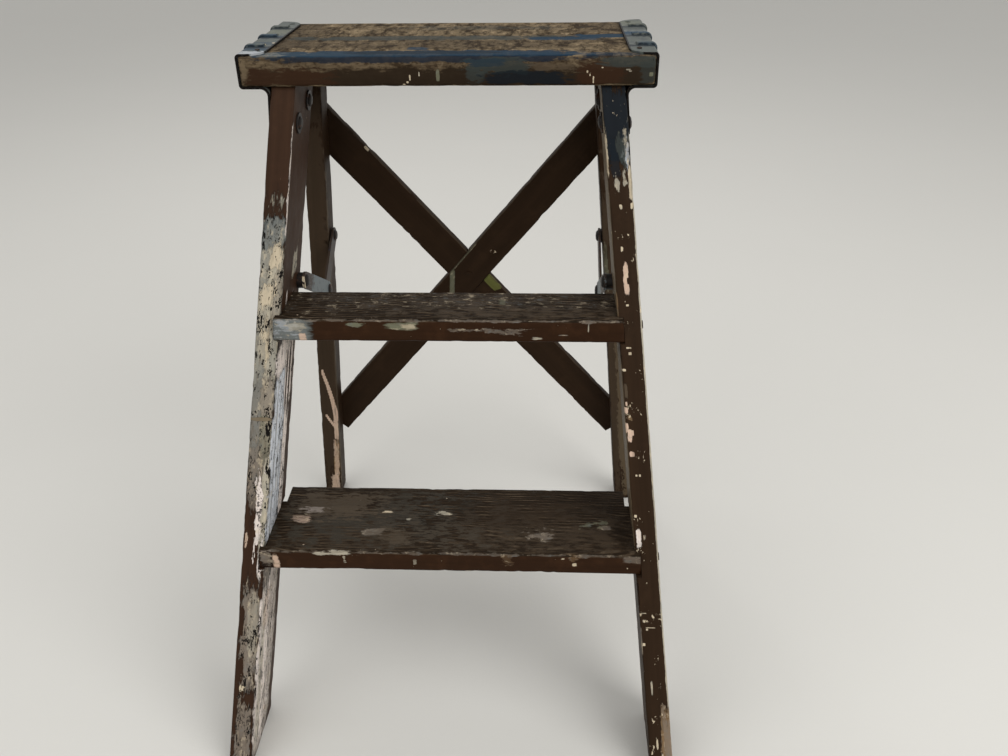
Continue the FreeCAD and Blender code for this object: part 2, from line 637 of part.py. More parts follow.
# Spreader strap: a slot-shaped outline round two rivet holes
def build_link(label, ends, plane, hole_radii):
    body = new_body(label)
    sketch = new_sketch(body, "StrapOutline", "YZ_Plane", plane)
    first, second = [FreeCAD.Vector(value(back), value(height), 0) for back, height in ends]
    radius = value("link_width / 2")
    direction = (second - first).normalize()
    side = FreeCAD.Vector(-direction.y, direction.x, 0) * radius
    angle = math.atan2(side.y, side.x)
    near_end = Part.Circle(first, AXIS_Z, radius)
    far_end = Part.Circle(second, AXIS_Z, radius)
    sketch.addGeometry(Part.ArcOfCircle(near_end, angle, angle + math.pi), False)
    sketch.addGeometry(Part.LineSegment(first - side, second - side), False)
    sketch.addGeometry(Part.ArcOfCircle(far_end, angle + math.pi, angle + 2 * math.pi), False)
    sketch.addGeometry(Part.LineSegment(second + side, first + side), False)
    for piece in range(4):
        sketch.addConstraint(Sketcher.Constraint("Tangent", piece, 2, (piece + 1) % 4, 1))
    for arc, (back, height) in ((0, ends[0]), (2, ends[1])):
        hold(sketch, "DistanceX", arc, 3, back)
        hold(sketch, "DistanceY", arc, 3, height)
    index = sketch.addConstraint(Sketcher.Constraint("Radius", 0, radius))
    sketch.setExpression(f"Constraints[{index}]", formula("link_width / 2"))
    add_pad(body, sketch, "Strap", "link_thick", "One side")
    holes = new_sketch(body, "StrapHoles", "YZ_Plane")
    for (back, height), hole in zip(ends, hole_radii):
        add_circle(holes, back, height, hole)
    add_pocket(body, holes, "StrapHoleCut", "reach", "One side", True)
    return body


# Fasteners, turned shapes set in groups
def turned(points, axis_point, axis):
    """Solid of revolution about an axis through a point from (radius, distance along the axis) corners."""
    corners = [FreeCAD.Vector(radius, 0, along) for radius, along in points]
    face = Part.Face(Part.makePolygon(corners + corners[:1]))
    solid = face.revolve(FreeCAD.Vector(0, 0, 0), AXIS_Z, 360)
    solid.Placement = FreeCAD.Placement(axis_point, FreeCAD.Rotation(AXIS_Z, axis))
    return solid


def round_head(point, axis, radius, rise):
    """Low round head standing on a face: a straight rim, a sloping shoulder and a flatter crown."""
    rim = value("head_rim")
    shoulder = (radius * math.cos(math.pi / 4), rim + (rise - rim) * math.sin(math.pi / 4))
    return turned([(0, 0), (radius, 0), (radius, rim), shoulder, (0, rise)], point, axis)


def rod(start, end, radius):
    return Part.makeCylinder(radius, (end - start).Length, start, end - start)


def ring(point, axis, radius, hole, thick):
    return turned([(hole, 0), (radius, 0), (radius, thick), (hole, thick)], point, axis)


def add_group(label, solids):
    """One node of separate solids."""
    group = doc.addObject("Part::Feature", label)
    group.Label = label
    group.Shape = Part.makeCompound(solids) if len(solids) > 1 else solids[0]
    return group


def point(across, back, height):
    return FreeCAD.Vector(value(across), value(back), value(height))


def twin_of(shape):
    return shape.mirror(FreeCAD.Vector(0, 0, 0), AXIS_X)


def both_sides(solids):
    return solids + [twin_of(solid) for solid in solids]


SPLAY = math.radians(value("splay_angle"))
LEG_SPLAY = math.atan(value("leg_splay"))
OUTWARD = FreeCAD.Vector(math.cos(SPLAY), 0, math.sin(SPLAY))
LEG_INWARD = FreeCAD.Vector(-math.cos(LEG_SPLAY), 0, -math.sin(LEG_SPLAY))


def plate_outer(height):
    return f"({rail_outer(height)} + plate_level_thick)"


def build_bracket_rivets():
    """Rivets through side plate and rail, each headed outside and over a washer on the rail's inner face."""
    rivets = []
    washers = []
    for end in ("front", "rear"):
        back, height = f"{end}_rivet_back", f"{end}_rivet_height"
        outside = point(plate_outer(height), back, height)
        inside = point(rail_inner(height), back, height)
        washer_face = inside - AXIS_X * value("washer_thick / cos(splay_angle)")
        solid = rod(washer_face, outside, value("rivet_radius"))
        solid = solid.fuse(round_head(outside, OUTWARD, value("rivet_head"), value("rivet_head_rise")))
        solid = solid.fuse(round_head(washer_face, -OUTWARD, value("rivet_head"), value("rivet_head_rise")))
        rivets.append(solid)
        washers.append(ring(inside, -OUTWARD, value("washer_radius"), value("rivet_radius + washer_gap"),
                            value("washer_thick")))
    add_group("bracket_rivets", both_sides(rivets))
    add_group("bracket_washers", both_sides(washers))


def build_hinge_pin():
    """Pin along the hinge axis, headed on the side plate and clear of the washer on the leg."""
    outside = point(plate_outer("pivot_height"), "pivot_back", "pivot_height")
    inside = point(leg_inner("pivot_height"), "pivot_back", "pivot_height")
    washer_face = inside - AXIS_X * value("washer_thick / cos(splay_angle)")
    head_face = washer_face - AXIS_X * value("pin_end_gap")
    washer = ring(inside, LEG_INWARD, value("washer_radius"), value("pin_radius + washer_gap"),
                  value("washer_thick"))
    pin = rod(head_face, outside, value("pin_radius"))
    pin = pin.fuse(round_head(outside, OUTWARD, value("pin_head"), value("pin_head_rise")))
    pin = pin.fuse(round_head(head_face, LEG_INWARD, value("pin_head"), value("pin_head_rise")))
    add_group("right_hinge_pin", [pin])
    add_group("left_hinge_pin", [twin_of(pin)])
    add_group("hinge_washers", both_sides([washer]))


FRONT_STRAP_INSIDE = "link_plane - link_gap / 2 - link_thick"
FRONT_STRAP_OUTSIDE = "link_plane - link_gap / 2"
REAR_STRAP_INSIDE = "link_plane + link_gap / 2"
REAR_STRAP_OUTSIDE = "link_plane + link_gap / 2 + link_thick"


def build_spreader_rivets(label, strap_inside, strap_outside, back, height, wood):
    """Rivet through a strap and a spacer into the wood, with a little room for the strap to turn."""
    slack = "link_hole_gap"
    head_face = point(f"{strap_inside} - {slack}", back, height)
    spacer_face = point(f"{strap_outside} + {slack}", back, height)
    wood_face = point(wood(height), back, height)
    rivet = rod(head_face, wood_face + AXIS_X * value("link_rivet_depth"), value("rivet_radius"))
    rivet = rivet.fuse(round_head(head_face, -AXIS_X, value("rivet_head"), value("rivet_head_rise")))
    spacer = rod(spacer_face, wood_face + AXIS_X * value("rail_thick / 2"), value("spacer_radius"))
    bore = rod(head_face, wood_face + AXIS_X * value("rail_thick"), value("rivet_radius + rivet_gap"))
    spacer = spacer.cut(bore)
    return rivet, spacer


def build_knuckles():
    """Knuckle rivet parted between the straps: one half stays with each strap."""
    back, height = "knuckle_back", "knuckle_height"
    front_face = point(FRONT_STRAP_INSIDE, back, height)
    front_end = point(FRONT_STRAP_OUTSIDE, back, height)
    rear_end = point(REAR_STRAP_INSIDE, back, height)
    rear_face = point(REAR_STRAP_OUTSIDE, back, height)
    head = value("rivet_head")
    rise = value("rivet_head_rise")
    crown = round_head(front_face, -AXIS_X, head, rise)
    front_half = rod(front_face, front_end, value("rivet_radius")).fuse(crown)
    tail = round_head(rear_face, AXIS_X, head, value("knuckle_tail_rise"))
    rear_half = rod(rear_end, rear_face, value("rivet_radius")).fuse(tail)
    for side, half in (("front", front_half), ("rear", rear_half)):
        add_group(f"right_knuckle_{side}", [half])
        add_group(f"left_knuckle_{side}", [twin_of(half)])


def nail(head_point, axis, length, head="nail_head"):
    """Nail standing in a face, its flat head on the surface."""
    shank = rod(head_point - axis * length, head_point, value("nail_radius"))
    return shank.fuse(rod(head_point, head_point + axis * value("nail_head_rise"), value(head)))


def build_nails():
    """Bracket nails in the top flanges, tread nails through the rails, and two nails at each slat's end."""
    across = "half_top - flange_nail_inset"
    front_spot = point(across, "top_front + front_nail_back", "total_height")
    sunk_spot = point(across, "top_back - rear_nail_front", "total_height - sheet_thick")
    short = value("short_nail_length")
    bracket_nails = [nail(front_spot, AXIS_Z, short, "small_nail_head")]
    bracket_nails.append(nail(sunk_spot, AXIS_Z, short, "sunk_nail_head"))
    add_group("bracket_nails", both_sides(bracket_nails))
    tread_nails = []
    for tread, (top, depth, proud) in TREADS.items():
        height = f"{top} - tread_thick / 2"
        for inset in ("tread_nail_front", "tread_nail_back"):
            back = f"{rail_front(height)} + {inset}"
            tread_nails.append(nail(point(rail_outer(height), back, height), OUTWARD, value("nail_length")))
    add_group("tread_nails", both_sides(tread_nails))
    lean = FreeCAD.Rotation(AXIS_X, value("leg_lean"))
    rear = lean.multVec(AXIS_Y)
    up_leg = lean.multVec(AXIS_Z)
    surface = point("0", "leg_back_top", "board_bottom") + rear * value("slat_thick")
    upper, lower, tilt = slat_line()
    drop = value(f"slat_width / 2 / cos({tilt})")
    slat_nails = []
    for along in ("slat_upper", "slat_lower"):
        height = f"board_bottom - {along} * cos(leg_lean)"
        middle_x = value(leg_inner(height)) + value("leg_thick / 2")
        centre = surface - up_leg * (value(along) + drop) + AXIS_X * middle_x
        for shift in (-0.5, 0.5):
            slat_nails.append(nail(centre + up_leg * value("slat_nail_pitch") * shift, rear, short))
    add_group("slat_nails", both_sides(slat_nails))


def crossing_nail():
    """Clinched nail where the slats cross, through both."""
    upper, lower, tilt = slat_line()
    edge = f"slat_upper + (slat_lower - slat_upper) * {upper} / ({upper} + {lower})"
    tilt_back = FreeCAD.Rotation(AXIS_X, value("leg_lean"))
    lean = FreeCAD.Placement(point("0", "leg_back_top", "board_bottom"), tilt_back)
    centre = lean.multVec(FreeCAD.Vector(0, 0, -value(f"{edge} + slat_width / 2 / cos({tilt})")))
    rear = lean.Rotation.multVec(AXIS_Y)
    thick = value("slat_thick")
    solid = rod(centre, centre + rear * thick, value("nail_radius"))
    head = value("nail_head")
    rise = rear * value("nail_head_rise")
    solid = solid.fuse(rod(centre - rise, centre, head))
    solid = solid.fuse(rod(centre + rear * thick, centre + rear * thick + rise, head))
    add_group("crossing_nail", [solid])


rail = build_rail()
leg = build_leg()
bracket = build_bracket()
upper_tread = build_tread("upper_tread")
lower_tread = build_tread("lower_tread")
notch_lower_tread(lower_tread)
top_board = build_top_board()
build_slats()
rail_pivot = ("rail_pivot_back", "rail_pivot_height")
leg_pivot = ("leg_pivot_back", "leg_pivot_height")
knuckle = ("knuckle_back", "knuckle_height")
running = "rivet_radius + link_hole_gap"
fixed = "rivet_radius + rivet_gap"
front_link = build_link("right_front_link", (rail_pivot, knuckle), FRONT_STRAP_INSIDE, (running, fixed))
rear_link = build_link("right_rear_link", (knuckle, leg_pivot), REAR_STRAP_INSIDE, (fixed, running))
for source in (rail, leg, bracket, front_link, rear_link):
    add_mirror(source, source.Label.replace("right_", "left_"))
doc.recompute()

build_bracket_rivets()
build_hinge_pin()
build_knuckles()
rail_rivet, rail_spacer = build_spreader_rivets(
    "rail", FRONT_STRAP_INSIDE, FRONT_STRAP_OUTSIDE, *rail_pivot, rail_inner)
leg_rivet, leg_spacer = build_spreader_rivets(
    "leg", REAR_STRAP_INSIDE, REAR_STRAP_OUTSIDE, *leg_pivot, leg_inner)
add_group("spreader_rail_rivets", both_sides([rail_rivet]))
add_group("spreader_rail_spacers", both_sides([rail_spacer.cut(rail.Shape)]))
add_group("spreader_leg_rivets", both_sides([leg_rivet]))
add_group("spreader_leg_spacers", both_sides([leg_spacer.cut(leg.Shape)]))
build_nails()
crossing_nail()
doc.recompute()

NODES = [
    "top_board", "left_bracket", "right_bracket", "left_front_rail", "right_front_rail", "upper_tread",
    "lower_tread", "bracket_nails", "tread_nails", "bracket_rivets", "bracket_washers", "left_hinge_pin",
    "right_hinge_pin", "spreader_rail_rivets", "spreader_rail_spacers", "left_rear_leg", "right_rear_leg",
    "rising_slat", "falling_slat", "slat_nails", "crossing_nail", "hinge_washers", "spreader_leg_rivets",
    "spreader_leg_spacers", "left_front_link", "right_front_link", "left_rear_link", "right_rear_link",
    "left_knuckle_front", "right_knuckle_front", "left_knuckle_rear", "right_knuckle_rear",
]

for item in doc.Objects:
    if "Invalid" in item.State or "Error" in item.State:
        raise ValueError(f"{item.Label} failed: {item.State}")
for name in NODES:
    item = doc.getObjectsByLabel(name)[0]
    if item.Shape.isNull() or not item.Shape.isValid():
        raise ValueError(f"{name} has no valid shape")
    print(name, len(item.Shape.Solids), round(item.Shape.Volume, 1))
    item.Shape.exportStep(f"parts/{name}.step")
print("fold angle", round(value("fold_angle"), 3), "hinge", value("pivot_back"), value("pivot_height"))
print("rail pivot", value("rail_pivot_back"), "leg pivot", value("leg_pivot_back"))
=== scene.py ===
import math
from dataclasses import dataclass

import bmesh
import bpy
from mathutils import Matrix, Vector, noise


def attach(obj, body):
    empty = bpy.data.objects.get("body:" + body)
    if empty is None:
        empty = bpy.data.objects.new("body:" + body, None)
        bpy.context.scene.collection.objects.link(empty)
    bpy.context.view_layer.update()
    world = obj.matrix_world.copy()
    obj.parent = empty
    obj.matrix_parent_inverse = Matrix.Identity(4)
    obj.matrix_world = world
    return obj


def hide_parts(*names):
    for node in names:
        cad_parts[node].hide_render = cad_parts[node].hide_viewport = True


bl_info = {
    "name": "Folding Step Stool Dressing",
    "version": (1, 0, 0),
    "blender": (4, 5, 0),
    "location": "View3D > Sidebar > Step Stool",
    "description": "Worn lumber, flaking paint and old hardware round the frame of a folding step stool",
    "category": "Object",
}

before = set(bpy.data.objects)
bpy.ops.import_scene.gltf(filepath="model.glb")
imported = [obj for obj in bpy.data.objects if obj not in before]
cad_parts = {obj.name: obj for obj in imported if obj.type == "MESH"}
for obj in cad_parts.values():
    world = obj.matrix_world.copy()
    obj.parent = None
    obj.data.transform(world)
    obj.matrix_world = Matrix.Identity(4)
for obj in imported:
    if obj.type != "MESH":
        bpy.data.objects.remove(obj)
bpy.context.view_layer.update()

MILLIMETRE = 0.001

# Sizes of the stool that its lumber leans by, in millimetres
FOOT_WIDTH = 370.8
BASE_DEPTH = 395
BOARD_BOTTOM = 506
RAIL_TOP_WIDTH = 268.5
RAIL_FRONT_TOP = 28.7
LEG_BACK_TOP = 134
LEG_INSIDE_TOP = 114.05
SLAT_UPPER = 45.2
SLAT_LOWER = 375.6

# Lean of the lumber across and back for each unit of height, and the tilt of the crossed slats
RAIL_SPLAY = (FOOT_WIDTH - RAIL_TOP_WIDTH) / 2 / BOARD_BOTTOM
RAIL_RAKE = (RAIL_FRONT_TOP + BASE_DEPTH / 2) / BOARD_BOTTOM
LEG_RAKE = (BASE_DEPTH / 2 - LEG_BACK_TOP) / BOARD_BOTTOM
LEG_LEAN = math.atan(LEG_RAKE)
LEG_SPLAY = RAIL_SPLAY * math.cos(math.atan(RAIL_RAKE)) / math.cos(LEG_LEAN)
SLAT_SPAN = 2 * LEG_INSIDE_TOP + LEG_SPLAY * math.cos(LEG_LEAN) * (SLAT_UPPER + SLAT_LOWER)
SLAT_TILT = math.atan((SLAT_LOWER - SLAT_UPPER) / SLAT_SPAN)


def shade(red, green, blue):
    """Linear colour of a paint given in everyday 0 to 255 screen values."""
    return tuple(((part / 255 + 0.055) / 1.055) ** 2.4 if part > 10 else part / 255 / 12.92
                 for part in (red, green, blue))


def colour_property(name, default, description):
    return bpy.props.FloatVectorProperty(
        name=name, description=description, subtype="COLOR", size=3, min=0, max=1, default=default)


def number_property(name, default, description, **settings):
    return bpy.props.FloatProperty(name=name, description=description, default=default, **settings)


def length_property(name, default, description):
    return number_property(name, default, description, unit="LENGTH", precision=4, min=0)


def angle_property(name, degrees, description):
    return number_property(name, math.radians(degrees), description, subtype="ANGLE")


def power_property(name, default, description):
    return number_property(name, default, description, unit="POWER", min=0)


class LumberSizes(bpy.types.PropertyGroup):
    """How finely the lumber is cut up and how deeply it is worn."""
    cell: length_property("Cell", 0.0035, "Spacing of the mesh along each piece")
    side_cell: length_property("Side cell", 0.0065, "Spacing of the mesh across each piece")
    dent: length_property("Edge dent", 0.0011, "Deepest dent along the edges")
    dent_reach: length_property("Dent reach", 0.006, "How far a dent reaches in from an edge")
    swell: length_property("Swell", 0.00035, "Low waves in the faces of old lumber")
    slat_bevel: length_property("Slat bevel", 0.0009, "Worn round on the slats")
    tread_corner: length_property("Tread corner", 0.0032, "Rounding of the treads' end corners")


class PaintColours(bpy.types.PropertyGroup):
    """Coats of paint on the lumber, and the wood under them."""
    bare_wood: colour_property("Bare wood", shade(140, 113, 82), "Wood where all paint is gone")
    grey_wood: colour_property("Grey wood", shade(120, 105, 83), "Worn and weathered wood of the top")
    dark_grain: colour_property("Dark grain", shade(44, 35, 26), "Grain lines of weathered wood")
    peach: colour_property("Peach primer", shade(206, 178, 156), "First coat, seen in flaked spots")
    pink: colour_property("Pinkish white", shade(234, 220, 210), "Second coat, chalky")
    # Cream also paints a highlight on the left front link's round end
    cream: colour_property("Cream", shade(206, 190, 162), "Old cream coat")
    moss: colour_property("Greenish cream", shade(112, 112, 92), "Cream coat gone green with dirt")
    pale_grey: colour_property("Pale grey", shade(174, 166, 148), "Old grey coat, dirty")
    lilac_grey: colour_property("Lilac grey", shade(126, 115, 103), "Grey coat rubbed over brown")
    grey_brown: colour_property("Grey brown", shade(84, 72, 58), "Brown paint rubbed thin")
    slate: colour_property("Slate", shade(56, 60, 57), "Old slate-blue coat")
    blue_grey: colour_property("Blue grey", shade(110, 114, 112), "Old blue-grey coat")
    light_blue: colour_property("Light blue", shade(216, 220, 226), "Light blue smears")
    blue: colour_property("Blue", shade(18, 47, 66), "Blue bands on the top")
    # Navy also paints the shade in front of the brackets' ribs
    navy: colour_property("Navy", shade(22, 29, 35), "Darkest blue on the top")
    brown: colour_property("Brown", shade(54, 37, 26), "Top coat of brown gloss")
    red_brown: colour_property("Red brown", shade(44, 27, 15), "Brown of the treads' fronts")
    tread_brown: colour_property("Tread brown", shade(48, 37, 26), "Brown worn into the treads")
    dark_brown: colour_property("Dark brown", shade(44, 31, 20), "Top coat on the rear frame")
    olive: colour_property("Olive", shade(110, 112, 62), "Olive paint left at the crossing")
    # Also painted shade: the shadow along flaked paint borders, the left rail's dark edge lines and the
    # brackets' flange gaps
    soot: colour_property("Soot", shade(20, 17, 15), "Black dirt in corners, pits and along sheet edges")


class MetalColours(bpy.types.PropertyGroup):
    """Finishes of the brackets, straps and fasteners."""
    bracket: colour_property("Bracket paint", shade(80, 84, 80), "Grey-green paint of the brackets")
    bracket_dark: colour_property("Bracket shade", shade(32, 42, 58), "Paint worn dark along ribs and edges")
    strap: colour_property("Strap paint", shade(98, 106, 108), "Blue-grey paint of the straps")
    iron: colour_property("Dark iron", shade(30, 26, 24), "Rivets and pins")
    rust: colour_property("Rust", shade(84, 52, 33), "Rust on bare metal")


class CameraPlace(bpy.types.PropertyGroup):
    """Where the photograph was taken from."""
    across: length_property("Across", 0.0713, "Camera to the right of the stool's middle")
    ahead: length_property("Ahead", 0.6604, "Camera in front of the stool's middle")
    height: length_property("Height", 0.6656, "Camera above the floor")
    turn: angle_property("Turn", 2.61, "Camera turned to the left")
    dip: angle_property("Dip", 31.11, "Camera tipped down")
    roll: angle_property("Roll", 0.83, "Camera rolled")
    lens: number_property("Lens", 32.007, "Focal length in millimetres", unit="CAMERA", min=1)


class StudioLight(bpy.types.PropertyGroup):
    """Pale floor and soft light."""
    floor: colour_property("Floor", shade(208, 206, 200), "Matt pale floor")
    backdrop: colour_property("Backdrop", shade(236, 236, 234), "Empty studio beyond the floor")
    sky: number_property("Sky", 0.62, "Strength of the even light", min=0)
    key: power_property("Key", 24, "Power of the key lamp")
    fill: power_property("Fill", 8, "Power of the fill lamp")
    back: power_property("Back", 11, "Power of the lamp behind")
    floor_width: length_property("Floor width", 14, "Side of the floor")


# Node trees

ORIGIN = (0, 0, 0)
# Reach of the painted shadow along a paint place's border, as a share of its size
RIM_SHADOW_REACH = 0.16


def tree_of(values):
    """Node tree of the first output among some values."""
    return next(value.id_data for value in values if isinstance(value, bpy.types.NodeSocket))


def put(tree, kind, inputs=(), **settings):
    """New node. Each input, by name or number, is a value or another node's output."""
    made = tree.nodes.new("ShaderNode" + kind)
    for key, setting in settings.items():
        setattr(made, key, setting)
    for key, given in dict(inputs).items():
        if isinstance(given, bpy.types.NodeSocket):
            tree.links.new(given, made.inputs[key])
        else:
            made.inputs[key].default_value = given
    return made


def maths(operation, *values, clamp=False):
    """Output of a Math node over values and outputs."""
    made = put(tree_of(values), "Math", enumerate(values), operation=operation, use_clamp=clamp)
    return made.outputs[0]


def plus(first, second, clamp=False):
    return maths("ADD", first, second, clamp=clamp)


def minus(first, second, clamp=False):
    return maths("SUBTRACT", first, second, clamp=clamp)


def times(first, second, clamp=False):
    return maths("MULTIPLY", first, second, clamp=clamp)


def vectors(operation, *values, output="Vector"):
    """Output of a Vector Math node."""
    return put(tree_of(values), "VectorMath", enumerate(values), operation=operation).outputs[output]


def stretched(vector, factors):
    return vectors("MULTIPLY", vector, factors)


def parts_of(vector):
    """X, Y and Z of a vector output."""
    return put(tree_of([vector]), "SeparateXYZ", {0: vector}).outputs


def step_of(value, low, high):
    """Smooth step of a value between two levels, from 0 to 1, falling where low is above high."""
    inputs = {0: value, 1: low, 2: high}
    return put(tree_of([value]), "MapRange", inputs, interpolation_type="SMOOTHSTEP").outputs[0]


def full(colour):
    return (*colour[:3], 1.0)


def darker(colour, share):
    return [part * share for part in colour[:3]]


def lighter(colour, share):
    return [min(1, part * share) for part in colour[:3]]


def blend_of(share, first, second):
    """Colour between two others, which are outputs or linear triples."""
    colours = [given if isinstance(given, bpy.types.NodeSocket) else full(given) for given in (first, second)]
    inputs = {0: share, 6: colours[0], 7: colours[1]}
    return put(tree_of((share, first, second)), "Mix", inputs, data_type="RGBA").outputs[2]


def between(share, first, second):
    """Number between two others."""
    inputs = {0: share, 2: first, 3: second}
    return put(tree_of((share, first, second)), "Mix", inputs, data_type="FLOAT").outputs[0]


def noise_of(vector, scale, detail=2.0, rough=0.5, warp=0.0, output=0):
    inputs = {"Vector": vector, "Scale": scale, "Detail": detail, "Roughness": rough, "Distortion": warp}
    return put(tree_of([vector]), "TexNoise", inputs).outputs[output]


def new_group(name, inputs, outputs):
    """Empty shader node group, and its input and output sockets. A default of three parts makes a vector."""
    tree = bpy.data.node_groups.new(name, "ShaderNodeTree")
    for label, default in inputs.items():
        kind = "NodeSocketVector" if isinstance(default, tuple) else "NodeSocketFloat"
        tree.interface.new_socket(name=label, in_out="INPUT", socket_type=kind).default_value = default
    for label, kind in outputs.items():
        tree.interface.new_socket(name=label, in_out="OUTPUT", socket_type=f"NodeSocket{kind}")
    return tree, tree.nodes.new("NodeGroupInput").outputs, tree.nodes.new("NodeGroupOutput").inputs


def use_group(name, **inputs):
    """Outputs of a shared group placed in a material with its own values."""
    named = {key.replace("_", " "): given for key, given in inputs.items()}
    return put(tree_of(inputs.values()), "Group", named, node_tree=bpy.data.node_groups[name]).outputs


def make_board_group():
    """Row-frame position to a board's own axes, measured from its faces."""
    tree, given, out = new_group(
        "Board axes", {"Position": ORIGIN, "Row X": (1, 0, 0), "Row Y": (0, 1, 0), "Row Z": (0, 0, 1),
                       "Start": ORIGIN}, {"Vector": "Vector"})
    parts = [vectors("DOT_PRODUCT", given["Position"], given[row], output="Value")
             for row in ("Row X", "Row Y", "Row Z")]
    joined = put(tree, "CombineXYZ", enumerate(parts)).outputs[0]
    tree.links.new(vectors("SUBTRACT", joined, given["Start"]), out["Vector"])


def make_grain_group():
    """Wood grain along X: fine fibres, and growth rings round a tilted pith that open into arches."""
    tree, given, out = new_group(
        "Wood grain", {"Vector": ORIGIN, "Pith": (0, 0.02, -0.03), "Tilt": 0.12, "Ring Gap": 0.005},
        {"Fibre": "Float", "Rings": "Float", "Streaks": "Float"})
    drawn = stretched(given["Vector"], (0.05, 1, 1))
    wander = noise_of(stretched(given["Vector"], (0.35, 1, 1)), 30, 5, 0.6, output=1)
    bent = vectors("ADD", given["Vector"], stretched(wander, (0, 0.016, 0.016)))
    along, across, up = parts_of(vectors("SUBTRACT", bent, given["Pith"]))
    depth = plus(up, times(along, given["Tilt"]))
    reach = maths("SQRT", plus(times(across, across), times(depth, depth)))
    rings = maths("PINGPONG", maths("DIVIDE", reach, given["Ring Gap"]), 1)
    tree.links.new(noise_of(drawn, 480, 5, 0.65), out["Fibre"])
    tree.links.new(step_of(rings, 0.25, 0.95), out["Rings"])
    tree.links.new(noise_of(drawn, 130, 4, 0.6), out["Streaks"])


def make_patch_group():
    """A painted or flaked place: a rounded box in board axes with a ragged border, and a thin rim along it
    for a painted shadow.
    """
    tree, given, out = new_group(
        "Paint patch", {"Vector": ORIGIN, "Centre": ORIGIN, "Size": (0.01, 0.01, 0.01), "Ragged": 0.5,
                        "Raggedness": 1.0, "Softness": 0.08}, {"Mask": "Float", "Rim": "Float"})
    near = vectors("DIVIDE", vectors("SUBTRACT", given["Vector"], given["Centre"]), given["Size"])
    reach = maths("SQRT", vectors("LENGTH", stretched(near, near), output="Value"))
    shift = times(minus(given["Ragged"], 0.5), given["Raggedness"])
    edge = minus(plus(reach, shift), 1)
    soft = maths("DIVIDE", edge, given["Softness"])
    rim = maths("DIVIDE", maths("ABSOLUTE", edge), RIM_SHADOW_REACH)
    tree.links.new(minus(0.5, soft, clamp=True), out["Mask"])
    tree.links.new(minus(1, rim, clamp=True), out["Rim"])


def make_chip_group():
    """Small angular chips scattered in a coat of paint."""
    tree, given, out = new_group(
        "Paint chips", {"Vector": ORIGIN, "Stretch": (1, 1, 1), "Scale": 180.0, "Amount": 0.2},
        {"Mask": "Float"})
    spot = stretched(given["Vector"], given["Stretch"])
    broad = noise_of(spot, times(given["Scale"], 0.22))
    fine = noise_of(spot, given["Scale"], 5, 0.62, 0.3)
    both = plus(times(broad, 0.45), times(fine, 0.55))
    level = minus(0.72, times(given["Amount"], 0.3))
    tree.links.new(step_of(both, level, plus(level, 0.012)), out["Mask"])


def make_wear_group():
    """Rubbed edges of a board: near where two of its faces meet, broken up by noise."""
    tree, given, out = new_group(
        "Edge wear", {"Vector": ORIGIN, "Middle": ORIGIN, "Half": (0.01, 0.01, 0.01), "Width": 0.002,
                      "Ragged": 0.5, "Bias": 0.5}, {"Mask": "Float"})
    off = vectors("ABSOLUTE", vectors("SUBTRACT", given["Vector"], given["Middle"]))
    x, y, z = parts_of(vectors("SUBTRACT", given["Half"], off))
    xy, yz, zx = [maths("MAXIMUM", *pair) for pair in ((x, y), (y, z), (z, x))]
    low = maths("MINIMUM", xy, maths("MINIMUM", yz, zx))
    wear = minus(plus(given["Ragged"], given["Bias"]), maths("DIVIDE", low, given["Width"]))
    tree.links.new(step_of(wear, 0.45, 0.6), out["Mask"])


def make_groups():
    for maker in (make_board_group, make_grain_group, make_patch_group, make_chip_group, make_wear_group):
        maker()


# Lumber

# Points closer than this are joined, in metres
JOIN_DISTANCE = 1e-6
# Angles between faces: those that count as flat, sharp, square and shaded sharp
FLAT_ANGLE = math.radians(0.5)
SHARP_ANGLE = math.radians(30)
SQUARE_ANGLE = math.radians(60)
SHADED_ANGLE = math.radians(38)
# Noise of the knocks and nicks along the edges and of the waves in the faces, per metre
KNOCKS = 60
NICKS = 170
WAVES = 22


class Board:
    """A piece of lumber: its node, body and slot, and its own axes with their zero at a handy corner."""

    def __init__(self, name, body, slot, rows, grain, zero):
        self.name = name
        self.body = body
        self.slot = slot
        self.rows = [Vector(row) for row in rows]
        self.grain = grain
        reach = [[row.dot(vertex.co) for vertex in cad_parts[name].data.vertices] for row in self.rows]
        low = Vector([min(values) for values in reach])
        high = Vector([max(values) for values in reach])
        self.zero = Vector(zero(self.rows, low, high))
        self.low = low - self.zero
        self.high = high - self.zero

    def place(self, point):
        """Row-frame point in the board's own axes."""
        return Vector([row.dot(point) for row in self.rows]) - self.zero


def inner_front_foot(rows, low, high):
    """Rails and legs are measured from the inner face out, from the front face back and from the floor."""
    return low


def middle_front_top(rows, low, high):
    """Level boards are measured from the middle, from the front edge back and from the top."""
    return 0, low[1], high[2]


def slat_crossing(rows, low, high):
    """Slats are measured from the nail where they cross."""
    corners = [vertex.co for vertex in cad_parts["crossing_nail"].data.vertices]
    middle = [(min(values) + max(values)) / 2 for values in zip(*corners)]
    return [row.dot(Vector(middle)) for row in rows]


def rail_rows(side):
    return (side, 0, RAIL_SPLAY), (0, 1, -RAIL_RAKE), (0, 0, 1)


def leg_rows(side):
    return (side, 0, LEG_SPLAY), (0, 1, LEG_RAKE), (0, 0, 1)


def slat_rows(side):
    """Along the slat, square to the legs' rear faces, and across the slat."""
    up_leg = Vector((0, -math.sin(LEG_LEAN), math.cos(LEG_LEAN)))
    rear = Vector((0, math.cos(LEG_LEAN), math.sin(LEG_LEAN)))
    right = Vector((1, 0, 0))
    along = math.cos(SLAT_TILT) * right + side * math.sin(SLAT_TILT) * up_leg
    across = math.cos(SLAT_TILT) * up_leg - side * math.sin(SLAT_TILT) * right
    return along, rear, across


LEVEL_ROWS = ((1, 0, 0), (0, 1, 0), (0, 0, 1))
ALONG_X = 0
ALONG_Z = 2

